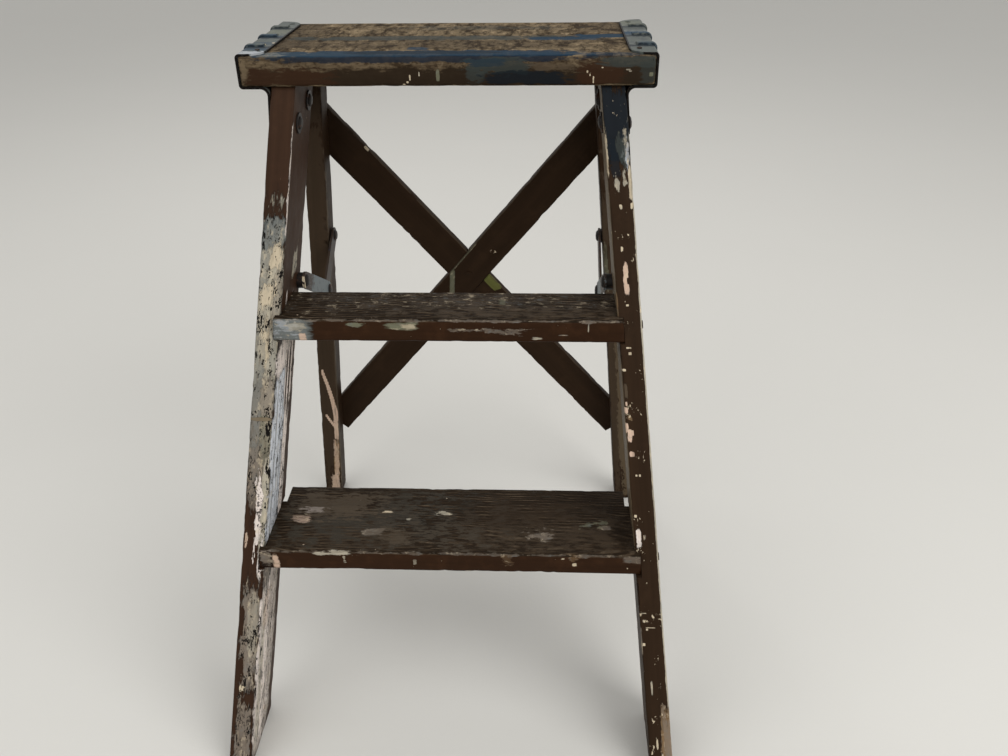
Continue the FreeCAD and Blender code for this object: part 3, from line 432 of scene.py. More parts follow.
BOARDS = {board.name: board for board in (
    Board("top_board", "front_frame", "top_wood", LEVEL_ROWS, ALONG_X, middle_front_top),
    Board("left_front_rail", "front_frame", "rail_paint", rail_rows(-1), ALONG_Z, inner_front_foot),
    Board("right_front_rail", "front_frame", "rail_paint", rail_rows(1), ALONG_Z, inner_front_foot),
    Board("upper_tread", "front_frame", "tread_paint", LEVEL_ROWS, ALONG_X, middle_front_top),
    Board("lower_tread", "front_frame", "tread_paint", LEVEL_ROWS, ALONG_X, middle_front_top),
    Board("left_rear_leg", "rear_frame", "leg_paint", leg_rows(-1), ALONG_Z, inner_front_foot),
    Board("right_rear_leg", "rear_frame", "leg_paint", leg_rows(1), ALONG_Z, inner_front_foot),
    Board("rising_slat", "rear_frame", "slat_paint", slat_rows(1), ALONG_X, slat_crossing),
    Board("falling_slat", "rear_frame", "slat_paint", slat_rows(-1), ALONG_X, slat_crossing),
)}


def slice_board(mesh, board, sizes):
    """Cuts the board's faces into cells along its three axes."""
    for axis, row in enumerate(board.rows):
        spacing = sizes.cell if axis == board.grain else sizes.side_cell
        span = board.high[axis] - board.low[axis]
        count = max(2, round(span / spacing))
        for number in range(1, count):
            reach = board.zero[axis] + board.low[axis] + span * number / count
            everything = mesh.verts[:] + mesh.edges[:] + mesh.faces[:]
            bmesh.ops.bisect_plane(mesh, geom=everything, dist=JOIN_DISTANCE, plane_no=row,
                                   plane_co=row * (reach / row.length_squared))


def edge_margin(board, place):
    """Distance to the nearest long edge: the second smallest distance to the board's faces."""
    gaps = sorted(min(place[axis] - board.low[axis], board.high[axis] - place[axis]) for axis in range(3))
    return max(0.0, gaps[1])


def wear_down(mesh, board, sizes, seed):
    """Dents along the edges and low waves in the faces, only ever inwards."""
    mesh.normal_update()
    moved = []
    for vertex in mesh.verts:
        spot = vertex.co + Vector((seed, seed * 0.7, 0))
        margin = edge_margin(board, board.place(vertex.co))
        near = max(0.0, 1 - margin / sizes.dent_reach)
        knock = noise.noise(spot * KNOCKS) * 1.3 + noise.noise(spot * NICKS) * 0.9 - 0.12
        dent = sizes.dent * near * near * min(1.0, max(0.0, knock))
        wave = sizes.swell * (0.5 + 0.5 * noise.noise(spot * WAVES))
        moved.append(vertex.co - vertex.normal * (dent + wave))
    for vertex, place in zip(mesh.verts, moved):
        vertex.co = place


def round_tread_ends(mesh, board, sizes):
    """Rounds the end corners of a tread, as seen from the front."""
    end = board.high.x - sizes.tread_corner
    corners = [edge for edge in mesh.edges
               if all(abs(vertex.co.x) > end for vertex in edge.verts)
               and abs(edge.verts[0].co.y - edge.verts[1].co.y) > 0.9 * edge.calc_length()
               and edge.calc_face_angle(0) > SQUARE_ANGLE]
    bmesh.ops.bevel(mesh, geom=corners, offset=sizes.tread_corner, segments=4, profile=0.5, affect="EDGES",
                    clamp_overlap=True)


def add_worn_board(context, name, job):
    """Worn and painted copy of a board, in place of its plain node."""
    sizes = context.scene.stool_lumber
    board = BOARDS[name]
    mesh = bmesh.new()
    mesh.from_mesh(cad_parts[name].data)
    bmesh.ops.remove_doubles(mesh, verts=mesh.verts, dist=JOIN_DISTANCE)
    bmesh.ops.dissolve_limit(mesh, angle_limit=FLAT_ANGLE, verts=mesh.verts, edges=mesh.edges)
    if "slat" in name:
        sharp = [edge for edge in mesh.edges if edge.calc_face_angle(0) > SHARP_ANGLE]
        bmesh.ops.bevel(mesh, geom=sharp, offset=sizes.slat_bevel, segments=2, profile=0.6, affect="EDGES",
                        clamp_overlap=True)
    if "tread" in name:
        round_tread_ends(mesh, board, sizes)
    slice_board(mesh, board, sizes)
    # The length of its name is a board's seed, so that left and right are dented differently
    wear_down(mesh, board, sizes, seed=len(name))
    data = bpy.data.meshes.new(f"worn_{name}")
    mesh.to_mesh(data)
    mesh.free()
    data.polygons.foreach_set("use_smooth", [True] * len(data.polygons))
    data.set_sharp_from_angle(angle=SHADED_ANGLE)
    data.materials.append(BoardFinish(board, context.scene.stool_paint, job).lay())
    piece = bpy.data.objects.new(f"worn_{name}", data)
    context.scene.collection.objects.link(piece)
    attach(piece, board.body)
    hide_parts(name)


# Finishes

class Finish:
    """A material in the making, with the colour, height and roughness built up so far."""

    def __init__(self, name):
        self.material = bpy.data.materials.new(name)
        self.material.use_nodes = True
        self.material.node_tree.nodes.clear()
        self.position = put(self.material.node_tree, "TexCoord").outputs["Object"]
        self.colour = None
        self.height = None
        self.rough = None

    def tint(self, mask, colour):
        """Another colour where the mask says so."""
        self.colour = blend_of(mask, self.colour, colour)

    def cover(self, mask, colour, height, rough, share=1.0):
        """A coat where the mask says so."""
        if share != 1.0:
            mask = times(mask, share)
        self.tint(mask, colour)
        self.height = between(mask, self.height, height)
        self.rough = between(mask, self.rough, rough)

    def close(self, relief, gleam=0.05):
        """Joins what is built up into the material."""
        tree = self.material.node_tree
        bump = put(tree, "Bump", {"Height": self.height, "Strength": 1.0, "Distance": relief}).outputs[0]
        skin = put(tree, "BsdfPrincipled", {
            "Base Color": self.colour, "Roughness": self.rough, "Normal": bump, "Specular IOR Level": gleam})
        put(tree, "OutputMaterial", {0: skin.outputs[0]})
        return self.material


def patch_of(vector, ragged, outline, softness=0.08):
    """Mask of a place of paint, and its rim for a painted shadow; its centre, half size and raggedness are
    given in millimetres.
    """
    centre, size, raggedness = outline
    return use_group("Paint patch", Vector=vector, Ragged=ragged, Raggedness=raggedness, Softness=softness,
                     Centre=[part * MILLIMETRE for part in centre], Size=[part * MILLIMETRE for part in size])


def chips_of(vector, amount, stretch=(1, 1, 1), scale=180):
    """Mask of small chips."""
    return use_group("Paint chips", Vector=vector, Amount=amount, Stretch=stretch, Scale=scale)[0]


# Places of old paint on each board, and a few of dirt and painted shade: the coat that shows, its centre and
# half size in the board's own axes in millimetres, how ragged its border is, and its strength
PAINT_PLACES = {
    "top_board": (
        # Top face, worn to the grain with bands of blue
        ("blue_grey", (-105, 8, 0), (40, 8, 3), 3, 0.8),
        ("dark_grain", (-30, 46, 0), (140, 18, 2), 5, 0.4),
        ("dark_grain", (-138, 90, 0), (28, 60, 2), 5, 0.4),
        ("dark_grain", (128, 118, 0), (28, 40, 2), 5, 0.35),
        ("blue", (-15, 6, 0), (118, 13, 5), 2, 0.9),
        ("blue", (110, 5, 0), (50, 5, 2), 4, 0.5),
        ("navy", (-20, 12, 0), (60, 5, 3), 3, 0.6),
        ("slate", (-20, 69, 0), (115, 8, 2), 3.5, 0.8),
        ("blue", (88, 65, 0), (30, 6, 2), 3, 0.85),
        ("blue", (122, 74, 0), (26, 7, 2), 2.5, 0.95),
        ("blue", (-24, 27, 0), (8, 5, 1), 2.5, 0.8),
        ("slate", (20, 112, 0), (60, 8, 1), 7, 0.4),
        # Front and back edges
        ("dark_brown", (0, -2, -11), (240, 3.4, 20), 0.5, 0.5),
        ("dark_grain", (3, -2, -19.5), (161, 3, 11.6), 1.5, 0.97),
        ("dark_grain", (139, -2, -15), (18, 3, 9), 2, 0.9),
        ("brown", (-118, -2, -17), (36, 3, 9), 2, 0.9),
        ("brown", (114, -2, -13), (19, 3, 10), 1.8, 0.95),
        ("dark_brown", (0, 140, -20), (156, 4, 13), 1.1, 0.9),
        ("slate", (-60, 140, -4), (70, 4, 5), 3, 0.7),
        ("grey_wood", (-155, -2, -9), (6, 3, 8), 2.5, 0.6),
        ("slate", (22, -2, -10), (8, 3, 9), 3, 0.75),
        ("slate", (38, -2, -7), (24, 3, 7), 3, 0.85),
        ("blue", (30, -2, -5), (16, 3, 3), 2, 0.4),
        ("navy", (62, -2, -16), (34, 3, 5), 2.5, 0.8),
        ("grey_brown", (82, -2, -8), (18, 3, 3), 3, 0.7),
        ("slate", (138, -2, -4), (26, 3, 5), 1.8, 0.85),
        ("slate", (152, -2, -12), (8, 3, 11), 2.5, 0.6),
        # Small flakes on the front edge
        ("cream", (-27, 0, -16), (0.5, 1.5, 1.8), 3, 0.9),
        ("cream", (-29, 0, -19), (0.8, 1.5, 0.8), 3, 0.9),
        ("cream", (-31.6, 0, -20.6), (1.1, 1.5, 0.5), 3, 0.9),
        ("pale_grey", (-20, 0, -13), (0.4, 1.5, 1.6), 3, 0.8),
        ("moss", (-6, 0, -14), (1.4, 1.5, 4.5), 1.5, 0.8),
        ("moss", (152, 0, -14), (1.4, 1.5, 1.4), 1.5, 0.8),
        ("pale_grey", (135, 0, -10.5), (1.6, 1.5, 0.5), 4, 0.7),
        ("pale_grey", (136.6, 0, -11.6), (1, 1.5, 0.5), 4, 0.7),
        ("cream", (105, 0, -12), (0.7, 1.5, 1), 3, 0.8),
        ("cream", (107, 0, -14), (0.6, 1.5, 1.6), 6, 0.9),
        ("cream", (109.6, 0, -17.5), (0.5, 1.5, 2.2), 6, 0.9),
        ("cream", (116, 0, -9), (0.8, 1.5, 0.5), 3, 0.8),
    ),
    "left_front_rail": (
        # Front face, from the upper half down
        ("pale_grey", (9.5, 0, 324), (10, 4, 96), 1.6, 1),
        ("blue_grey", (9.5, 0, 406), (10, 4, 12), 2.5, 0.8),
        ("blue_grey", (15, 0, 380), (4, 4, 22), 5, 0.5),
        ("lilac_grey", (3, 0, 355), (4, 4, 24), 5, 0.5),
        ("cream", (6, 0, 390), (4.6, 3, 9), 5, 0.8),
        ("cream", (12, 0, 361), (5, 3, 9), 6, 0.8),
        ("cream", (11, 0, 328), (5, 3, 14), 6, 0.85),
        ("blue_grey", (4, 0, 322), (3, 3, 20), 5, 0.4),
        ("lilac_grey", (9.5, 0, 252), (9.5, 4, 50), 1.5, 0.7),
        ("blue_grey", (15, 0, 285), (4, 3, 50), 5, 0.5),
        ("moss", (6, 0, 255), (4, 3, 20), 5, 0.5),
        ("lilac_grey", (13, 0, 232), (5, 3, 20), 5, 0.7),
        ("grey_wood", (10, 0, 272), (9, 3, 1.3), 3, 0.8),
        ("pale_grey", (3, 0, 200), (3.5, 3, 44), 1.5, 1),
        ("pink", (7.5, 0, 196), (2.4, 2, 24), 8, 1),
        ("pink", (4, 0, 166), (1.7, 2, 15), 8, 1),
        ("peach", (16, 0, 182), (1.2, 2, 5), 6, 0.9),
        ("lilac_grey", (9, 0, 108), (8, 4, 42), 2.2, 1),
        ("pale_grey", (6, 0, 118), (4, 4, 26), 6, 0.5),
        ("brown", (15, 0, 80), (3, 3, 9), 3, 1),
        ("cream", (12.5, 0, 66), (2.4, 2, 2.4), 4, 1),
        ("brown", (16.5, 0, 118), (2.6, 3, 12), 4, 1),
        ("lilac_grey", (9, 0, 30), (6.5, 3, 26), 5, 0.9),
        # Dirt and painted shade along the front face's edges
        ("soot", (19.6, 0, 300), (1, 2.4, 120), 1.5, 0.9),
        ("soot", (0, 0, 312), (0.9, 1.6, 40), 2.5, 0.9),
        # Inner face
        ("pink", (0, 2, 440), (1.4, 1.4, 34), 3, 0.8),
        ("pale_grey", (0, 41, 370), (2, 8, 9), 3, 0.8),
        ("pink", (0, 19, 348), (1.5, 2.2, 9), 3, 1),
        ("light_blue", (0, 20, 235), (2, 19, 86), 1.2, 1),
        ("blue_grey", (0, 12, 225), (1.4, 1.6, 70), 4, 0.6),
        ("blue_grey", (0, 23, 225), (1.4, 1.2, 60), 4, 0.5),
        ("blue_grey", (0, 31, 215), (1.4, 1.4, 60), 4, 0.6),
        ("pink", (0, 45, 236), (2, 7, 80), 1.6, 1),
        ("pink", (0, 34, 310), (2, 34, 13), 1.2, 1),
        ("pink", (0, 50, 284), (2, 17, 24), 1.2, 1),
        ("brown", (0, 39, 284), (1.6, 2.6, 22), 1, 1),
        ("brown", (0, 49, 278), (1.6, 2.6, 28), 1, 1),
        ("brown", (0, 60, 272), (1.6, 3, 34), 1, 1),
        ("pink", (0, 27, 84), (2, 28, 86), 1.3, 1),
        ("pale_grey", (0, 12, 70), (1.4, 6, 66), 6, 0.7),
        ("lilac_grey", (0, 36, 84), (1.4, 8, 70), 7, 0.55),
        ("lilac_grey", (0, 50, 90), (1.4, 5, 80), 5, 0.6),
        ("peach", (0, 18, 118), (1.5, 8, 14), 4, 0.5),
        ("lilac_grey", (0, 16, 152), (1.6, 14, 12), 3, 0.8),
    ),
    "right_front_rail": (
        # Blue at the head
        ("navy", (10, 0, 479), (12, 3, 26), 2.5, 0.9),
        ("navy", (7, 0, 455), (4, 3, 12), 4, 0.7),
        ("slate", (14, 0, 462), (4, 3, 12), 5, 0.8),
        ("blue_grey", (15, 0, 466), (2.2, 2, 12), 10, 0.4),
        ("light_blue", (16.5, 0, 458), (1, 2, 9), 12, 0.5),
        ("pale_grey", (13, 0, 444), (1.5, 2, 5), 12, 0.8),
        ("pale_grey", (7, 0, 441), (1.6, 2, 4), 12, 0.8),
        ("cream", (17.4, 0, 441), (1.4, 2, 12), 6, 0.8),
        ("pale_grey", (19, 1, 235), (1.5, 2.2, 225), 2, 0.9),
        ("grey_wood", (0, 26, 420), (0.8, 40, 90), 2, 0.6),
        ("grey_wood", (0, 26, 250), (0.8, 40, 70), 2, 0.5),
        ("cream", (0.6, 0, 457), (1.3, 1.2, 17), 4, 0.8),
        ("bare_wood", (0, 0, 354), (1.2, 1.6, 11), 2.5, 0.6),
        # Flakes down the front face
        ("cream", (8.8, 0, 424), (1.2, 1.5, 1.8), 3, 1),
        ("cream", (17, 0, 425), (1, 1.5, 2.4), 3, 1),
        ("cream", (7.4, 0, 395), (0.9, 1.5, 1.8), 3, 1),
        ("peach", (8.8, 0, 374), (2, 2, 10.5), 2.4, 1),
        ("dark_brown", (10.8, 0, 373), (1.4, 2, 2.4), 2, 1),
        ("cream", (8.4, 0, 356), (1.2, 1.5, 0.8), 3, 1),
        ("cream", (7, 0, 326), (2.2, 1.5, 0.7), 3, 1),
        ("cream", (7.8, 0, 322), (1.1, 1.3, 1.2), 2, 1),
        ("cream", (2.2, 0, 310), (1.7, 1.2, 1), 3, 1),
        ("grey_brown", (2.5, 0, 295), (1, 1.5, 5), 3, 0.8),
        ("peach", (2.1, 0, 286), (0.8, 1.5, 1.7), 3, 0.9),
        ("peach", (1.3, 0, 281), (1.7, 1.5, 2.6), 4, 1),
        ("bare_wood", (3.8, 0, 276), (1.8, 1.5, 2), 5, 0.5),
        ("peach", (1.3, 0, 269), (1.1, 1.5, 3.6), 4, 1),
        ("peach", (3, 0, 263), (1.5, 1.5, 4.2), 3.5, 1),
        ("peach", (5.4, 0, 265), (0.8, 1.5, 1.6), 4, 1),
        ("peach", (3.8, 0, 249.5), (2, 1.5, 2), 2, 0.9),
        ("cream", (6, 0, 234), (0.8, 1, 0.8), 2, 1),
        ("cream", (8.6, 0, 234), (0.8, 1, 0.8), 2, 1),
        ("cream", (3, 0, 204), (1.1, 1.2, 1.2), 2, 1),
        ("pink", (4.4, 0, 187), (1.7, 2, 7.6), 5, 1),
        ("lilac_grey", (9, 0, 188), (1.2, 2, 2), 4, 0.6),
        ("cream", (8.5, 0, 120), (3.6, 1.2, 0.3), 1.5, 0.9),
        ("cream", (5.6, 0, 118.6), (0.8, 1.2, 0.8), 2, 0.9),
        ("cream", (3.4, 0, 125), (0.9, 1, 1), 2, 1),
        ("cream", (4, 0, 131), (1.8, 1, 0.3), 2, 0.8),
        ("cream", (2.2, 0, 107), (1.1, 1.2, 1.1), 2, 1),
        ("lilac_grey", (0, 1, 108), (1.2, 2.5, 10), 3, 0.9),
        ("pale_grey", (6, 0, 73), (0.7, 1, 5), 3, 0.8),
        # Worn foot
        ("bare_wood", (16, 1, 22), (5.6, 5, 36), 2, 0.9),
        ("lilac_grey", (16, 1, 30), (3, 5, 24), 6, 0.6),
        ("cream", (7.5, 0, 30), (0.8, 1.2, 5), 5, 0.9),
        ("cream", (11, 0, 20), (0.8, 1.2, 3), 5, 0.9),
    ),
    "upper_tread": (
        # Front edge
        ("slate", (-121, 0, -9), (15, 3, 11), 1.8, 0.6),
        ("blue_grey", (-124, 0, -9), (16, 2, 11), 2, 0.95),
        ("light_blue", (-127, 0, -8), (7, 1.5, 7), 12, 0.3),
        ("soot", (-139, 0, -9), (1.4, 1.5, 9), 4, 0.7),
        ("pale_grey", (-119, 0, -6), (6, 1.5, 4), 8, 0.6),
        ("peach", (-114, 0, -16), (2.6, 2, 4), 2.5, 0.9),
        ("moss", (-35, 0, -5), (12, 2, 3.2), 2.5, 0.95),
        ("cream", (-30, 0, -5), (6, 2, 1.6), 5, 0.6),
        ("moss", (-71, 0, -4), (7, 1.5, 1.8), 6, 0.9),
        ("lilac_grey", (12, 0, -8), (10, 1, 1.2), 12, 0.5),
        ("lilac_grey", (38, 0, -9), (12, 1, 1.8), 14, 0.55),
        ("pale_grey", (70, 0, -15), (3.6, 1.2, 1.2), 4, 0.9),
        ("lilac_grey", (90, 0, -12), (3.8, 1.2, 0.6), 3, 0.8),
        ("pale_grey", (109, 0, -6), (0.5, 1.2, 3), 2, 0.8),
        # Top face and its front corner
        ("lilac_grey", (10, 34, 0), (110, 14, 1), 20, 0.1),
        ("grey_brown", (60, 14, 0), (70, 6, 1), 14, 0.4),
        ("moss", (41, 33, 0), (2.5, 4, 1), 6, 0.5),
        ("lilac_grey", (0, 0.8, -0.4), (142, 1.3, 0.9), 9, 0.5),
    ),
    "lower_tread": (
        # Top face and its front corner
        ("grey_brown", (-80, 36, 0), (60, 40, 1), 9, 0.3),
        ("slate", (-70, 44, 0), (70, 26, 1), 15, 0.35),
        ("grey_brown", (70, 26, 0), (70, 16, 1), 16, 0.3),
        ("tread_brown", (60, 50, 0), (40, 12, 1), 9, 0.6),
        ("peach", (-127, 41, 0), (7, 4.5, 1), 7, 0.6),
        ("pink", (-119, 53, 0), (9, 2.6, 1), 9, 0.5),
        ("grey_brown", (-100, 60, 0), (34, 16, 1), 7, 0.6),
        ("cream", (-56, 52, 0), (3.6, 1.1, 1), 6, 0.8),
        ("pale_grey", (-9, 50, 0), (4, 1.5, 1), 14, 0.8),
        ("pale_grey", (-37, 42, 0), (1.8, 1.2, 1), 5, 0.7),
        ("lilac_grey", (-64, 26, 0), (8, 3.4, 1), 6, 0.6),
        ("grey_brown", (-45, 22, 0), (14, 8, 1), 7, 0.5),
        ("moss", (116, 39, 0), (7, 3.4, 1), 9, 0.6),
        ("lilac_grey", (128, 35, 0), (3.6, 2.4, 1), 2, 0.6),
        ("lilac_grey", (73, 25, 0), (7, 4, 1), 16, 0.6),
        ("lilac_grey", (0, 0.8, -0.4), (155, 1.3, 0.9), 10, 0.3),
        # Front edge
        ("pale_grey", (-92, 0.5, -1.5), (13, 2, 1.3), 9, 0.9),
        ("pale_grey", (-84, 0, -7), (1, 2, 3.4), 9, 0.7),
        ("peach", (-140, 0, -11), (2.6, 2, 6.5), 3, 0.95),
        ("soot", (-148, 0, -9), (5, 2, 9), 3, 0.7),
        ("lilac_grey", (-149, 0, -7), (4, 2, 6), 8, 0.8),
        ("pale_grey", (-27, 0, -9), (1.2, 1.2, 2.2), 3, 0.6),
        ("bare_wood", (99, 1, -2), (4, 3, 4), 8, 0.35),
        ("cream", (101, 0, -9), (1.9, 1.3, 1.8), 2.5, 1),
        ("cream", (92, 0, -3), (2, 1.2, 1), 7, 0.9),
        ("cream", (94, 0, -18.7), (9, 2, 0.6), 6, 0.9),
        ("pale_grey", (15.6, 0, -18), (2.4, 2, 1), 4, 0.8),
        ("bare_wood", (47, 0, -4), (4, 1.5, 5), 7, 0.2),
        ("lilac_grey", (146, 0, -3), (7, 2, 3), 3, 0.5),
    ),
    "left_rear_leg": (
        ("grey_brown", (9, 0, 250), (12, 1.2, 240), 3, 0.3),
        ("grey_brown", (0, 2, 200), (1, 4, 200), 3, 0.8),
        # A peeled strip that curves away from the inner edge
        *(("peach", (2.2 + 12 * (step / 16) ** 1.5, 0, 117 + 4 * step), (2.6 - 0.09 * step, 1.5, 4), 1, 1)
          for step in range(17)),
        ("peach", (2.8, 0, 103), (2.4, 1.5, 16), 1.5, 1),
        # Its branch
        *(("peach", (12.6 - 1.4 * step, 0, 121 - 2.6 * step), (1.2, 1.5, 2), 1.4, 1) for step in range(7)),
        # Its lower end and the worn foot
        ("bare_wood", (3, 0, 70), (2.3, 3, 15), 2, 1),
        ("bare_wood", (4.4, 0, 44), (3.2, 3, 20), 2.5, 1),
        ("peach", (4, 0, 54), (2.6, 3, 28), 4, 0.6),
        ("peach", (6.6, 0, 16), (4.6, 3, 18), 4, 0.8),
    ),
    "right_rear_leg": (
        ("grey_wood", (13, 0, 200), (5, 1.2, 190), 4, 0.5),
        ("grey_brown", (5, 0, 200), (6, 1.2, 190), 4, 0.4),
        ("moss", (2, 0, 311), (2.4, 1.5, 26), 3, 0.5),
        ("peach", (16, 0, 268), (1.4, 1.5, 9), 4, 0.25),
    ),
    "rising_slat": (
        ("moss", (12, -4, 16), (20, 2, 1.6), 1.5, 0.55),
        # A slanted strip of greenish cream
        *(("moss", (-8 - 1.4 * step, -4, 14.6 - step), (2.2, 2, 2.2), 0.6, 0.6) for step in range(16)),
        ("grey_brown", (0, -4, 16), (200, 1, 0.9), 3, 0.6),
    ),
    "falling_slat": (
        ("olive", (20, -4, 13), (12, 2, 6), 1.5, 0.85),
        ("cream", (-159, -4, 15), (2.6, 2, 1), 4, 0.9),
        ("grey_brown", (0, -4, 16), (220, 1, 0.9), 3, 0.6),
    ),
}


# Coats that dirt and pits show on
PALE_COATS = (
    "cream", "pale_grey", "pink", "peach", "lilac_grey", "blue_grey", "light_blue", "moss", "bare_wood",
)

# Growth rings: their middle in the lumber, in metres, and the gap between two of them
PITH = (0.08, 0.02, -0.01)
RING_GAP = 0.0016

# The side coat begins and is full at these heights over the top face, in metres
SIDE_COAT_START = -0.0004
SIDE_COAT_FULL = -0.0012

# Shifts of the noise that keep pits, flakes and chips apart
PIT_SHIFT = (0.31, 0.17, 0.23)
FLAKE_SHIFT = (0.11, 0.37, 0.53)


@dataclass
class PaintJob:
    """How one kind of lumber is finished under its places of old paint. Without a coat it is bare wood."""
    coat: str = None
    side_coat: str = None
    weathering: float = 0.0
    chips: float = 0.2
    specks: float = 0.0
    pits: float = 0.0
    wear: float = 0.5
    wear_width: float = 1.6
    wear_coats: tuple = ("grey_brown", "lilac_grey")
    relief: float = 0.0004
    gloss: float = 0.34
    soft: float = 0.08
    # Strength of the painted shadow along the borders of the older coats
    rim: float = 0.5
    gleam: float = 0.05


class BoardFinish(Finish):
    """Old paint on a board, in layers that share the board's axes and a few patterns."""

    def __init__(self, board, paints, job):
        super().__init__(f"{board.name}_finish")
        self.board = board
        self.paints = paints
        self.job = job
        self.place = self.axes((0, 1, 2))
        self.along = self.axes((0, 1, 2) if board.grain == ALONG_X else (2, 1, 0))
        grain = use_group("Wood grain", Vector=self.along, Pith=PITH, Ring_Gap=RING_GAP)
        self.fibre, self.rings, self.streaks = grain
        self.broad = noise_of(self.place, 60, 4, 0.6)
        self.fine = noise_of(self.place, 480, 5, 0.62)
        torn = noise_of(stretched(self.along, (0.25, 1, 1)), 330, 6, 0.72)
        self.ragged = plus(times(self.broad, 0.4), times(torn, 0.6))
        self.film = plus(0.75, times(self.streaks, 0.25))

    def axes(self, order):
        """Place in the board's own axes, in the given order."""
        row_x, row_y, row_z = [self.board.rows[axis] for axis in order]
        start = [self.board.zero[axis] for axis in order]
        return use_group("Board axes", Position=self.position, Row_X=row_x, Row_Y=row_y, Row_Z=row_z,
                         Start=start)[0]

    def lay(self):
        """Lays every layer, from the wood or the top coat up, and gives the material."""
        job = self.job
        if job.coat:
            self.add_coat()
        else:
            self.add_wood()
            self.add_blotches()
        if job.weathering:
            self.add_weathering()
        if job.side_coat:
            self.add_side_coat()
        pale = self.add_places()
        self.add_grime(pale)
        self.add_pits(pale)
        if job.specks:
            self.add_specks()
        if job.chips:
            self.add_chips()
        if job.wear:
            self.add_wear()
        return self.close(job.relief, job.gleam)

    def add_wood(self):
        """Weathered wood: rings and fibres, lighter where they stand up."""
        wood = self.paints.grey_wood
        self.colour = blend_of(times(self.rings, 0.55), wood, self.paints.dark_grain)
        self.tint(times(step_of(self.fibre, 0.4, 0.68), 0.6), darker(wood, 0.55))
        self.tint(step_of(self.streaks, 0.5, 0.72), lighter(wood, 1.25))
        self.height = plus(times(self.rings, -0.3), times(self.fibre, 0.6))
        self.rough = plus(0.66, times(self.fine, 0.2))

    def add_blotches(self):
        """Weathered top: blotches of dark and light over the grain, and a rough skin."""
        dark = self.paints.dark_grain
        wood = self.paints.grey_wood
        blotch = noise_of(stretched(self.along, (0.5, 0.3, 1)), 110, 7, 0.72, 0.5)
        skin = noise_of(stretched(self.along, (0.6, 0.25, 1)), 300, 5, 0.7)
        for level, low, high, tone, share in (
            (blotch, 0.52, 0.4, dark, 0.85), (blotch, 0.54, 0.66, lighter(wood, 1.5), 0.75),
            (skin, 0.49, 0.4, darker(dark, 0.6), 0.65), (skin, 0.56, 0.66, lighter(wood, 1.7), 0.55),
        ):
            self.tint(times(step_of(level, low, high), share), tone)
        self.height = plus(self.height, plus(times(blotch, 0.6), times(skin, 0.6)))

    def add_coat(self):
        """The top coat, with sags along the board and a little dirt."""
        coat = getattr(self.paints, self.job.coat)
        self.colour = blend_of(self.streaks, darker(coat, 0.6), lighter(coat, 1.4))
        self.tint(times(step_of(self.broad, 0.5, 0.75), 0.3), lighter(coat, 1.7))
        self.height = plus(self.film, times(self.fine, 0.08))
        self.rough = plus(self.job.gloss, times(self.broad, 0.3))

    def add_weathering(self):
        """Raised grain: paint rubbed grey on the ridges and dark in the furrows."""
        strength = self.job.weathering
        broken = plus(0.15, step_of(self.fibre, 0.4, 0.6))
        torn = times(broken, step_of(self.streaks, 0.36, 0.6))
        crests = times(step_of(self.rings, 0.4, 0.9), torn, clamp=True)
        ridge = times(crests, step_of(self.broad, 0.4, 0.62))
        hollows = times(step_of(self.rings, 0.25, 0.0), step_of(self.broad, 0.36, 0.56))
        furrow = maths("MAXIMUM", step_of(self.fibre, 0.5, 0.36), hollows)
        raised = plus(self.height, times(ridge, 0.6 * strength))
        self.height = minus(raised, times(furrow, 0.5 * strength))
        self.tint(times(furrow, 0.45 * strength, clamp=True), darker(self.paints.tread_brown, 0.35))
        self.tint(times(ridge, 0.7 * strength, clamp=True), lighter(self.paints.grey_brown, 1.25))
        self.rough = plus(self.rough, times(ridge, 0.25), clamp=True)

    def add_side_coat(self):
        """Thicker paint left below the top face, with a few streaks."""
        coat = getattr(self.paints, self.job.side_coat)
        height = plus(parts_of(self.place)[2], times(self.broad, 0.001))
        streaks = blend_of(self.streaks, darker(coat, 0.6), lighter(coat, 1.5))
        dusty = blend_of(times(step_of(self.broad, 0.5, 0.7), 0.4), streaks, lighter(coat, 2))
        below = step_of(height, SIDE_COAT_START, SIDE_COAT_FULL)
        self.cover(below, dusty, self.film, self.job.gloss)

    def add_places(self):
        """Every place of old paint, dirt and painted shade on the board, with a painted shadow along their
        borders. Gives the mask of the pale ones that no later coat hides.
        """
        job = self.job
        pale = 0.0
        for coat, *outline, share in PAINT_PLACES[self.board.name]:
            mask, rim = patch_of(self.place, self.ragged, outline, job.soft)
            paint = getattr(self.paints, coat)
            streaked = blend_of(self.streaks, darker(paint, 0.62), lighter(paint, 1.25))
            tone = blend_of(times(self.fine, 0.7), streaked, darker(paint, 0.8))
            self.cover(mask, tone, self.film if coat == job.coat else 0.45, 0.5, share)
            # A painted shadow along the border of each place that is not the top coat
            if job.rim and coat != job.coat:
                self.tint(times(rim, job.rim * share), self.paints.soot)
            if coat in PALE_COATS:
                pale = maths("MAXIMUM", pale, mask)
            else:
                pale = minus(pale, mask, clamp=True)
        return pale

    def add_grime(self, pale):
        """Dirt worked into the pale places, in smears along the board and in small clouds."""
        paints = self.paints
        smears = noise_of(stretched(self.along, (0.12, 1, 1)), 210, 5, 0.7)
        clouds = noise_of(stretched(self.along, (0.6, 1, 1)), 170, 6, 0.7)
        for dirt, low, high, tone, share in (
            (smears, 0.5, 0.68, paints.grey_brown, 0.5), (clouds, 0.52, 0.72, paints.blue_grey, 0.5),
            (clouds, 0.47, 0.34, paints.cream, 0.45),
        ):
            self.tint(times(times(step_of(dirt, low, high), pale), share), tone)

    def add_pits(self, pale):
        """Dark pits and flakes of the top coat left on the pale places."""
        amount = self.job.pits
        pits = chips_of(vectors("ADD", self.along, PIT_SHIFT), amount, stretch=(0.32, 1, 1), scale=560)
        flakes = chips_of(vectors("ADD", self.along, FLAKE_SHIFT), amount, stretch=(0.6, 1, 1), scale=900)
        self.cover(times(maths("MAXIMUM", pits, flakes), pale), self.paints.soot, 0.0, 0.5)

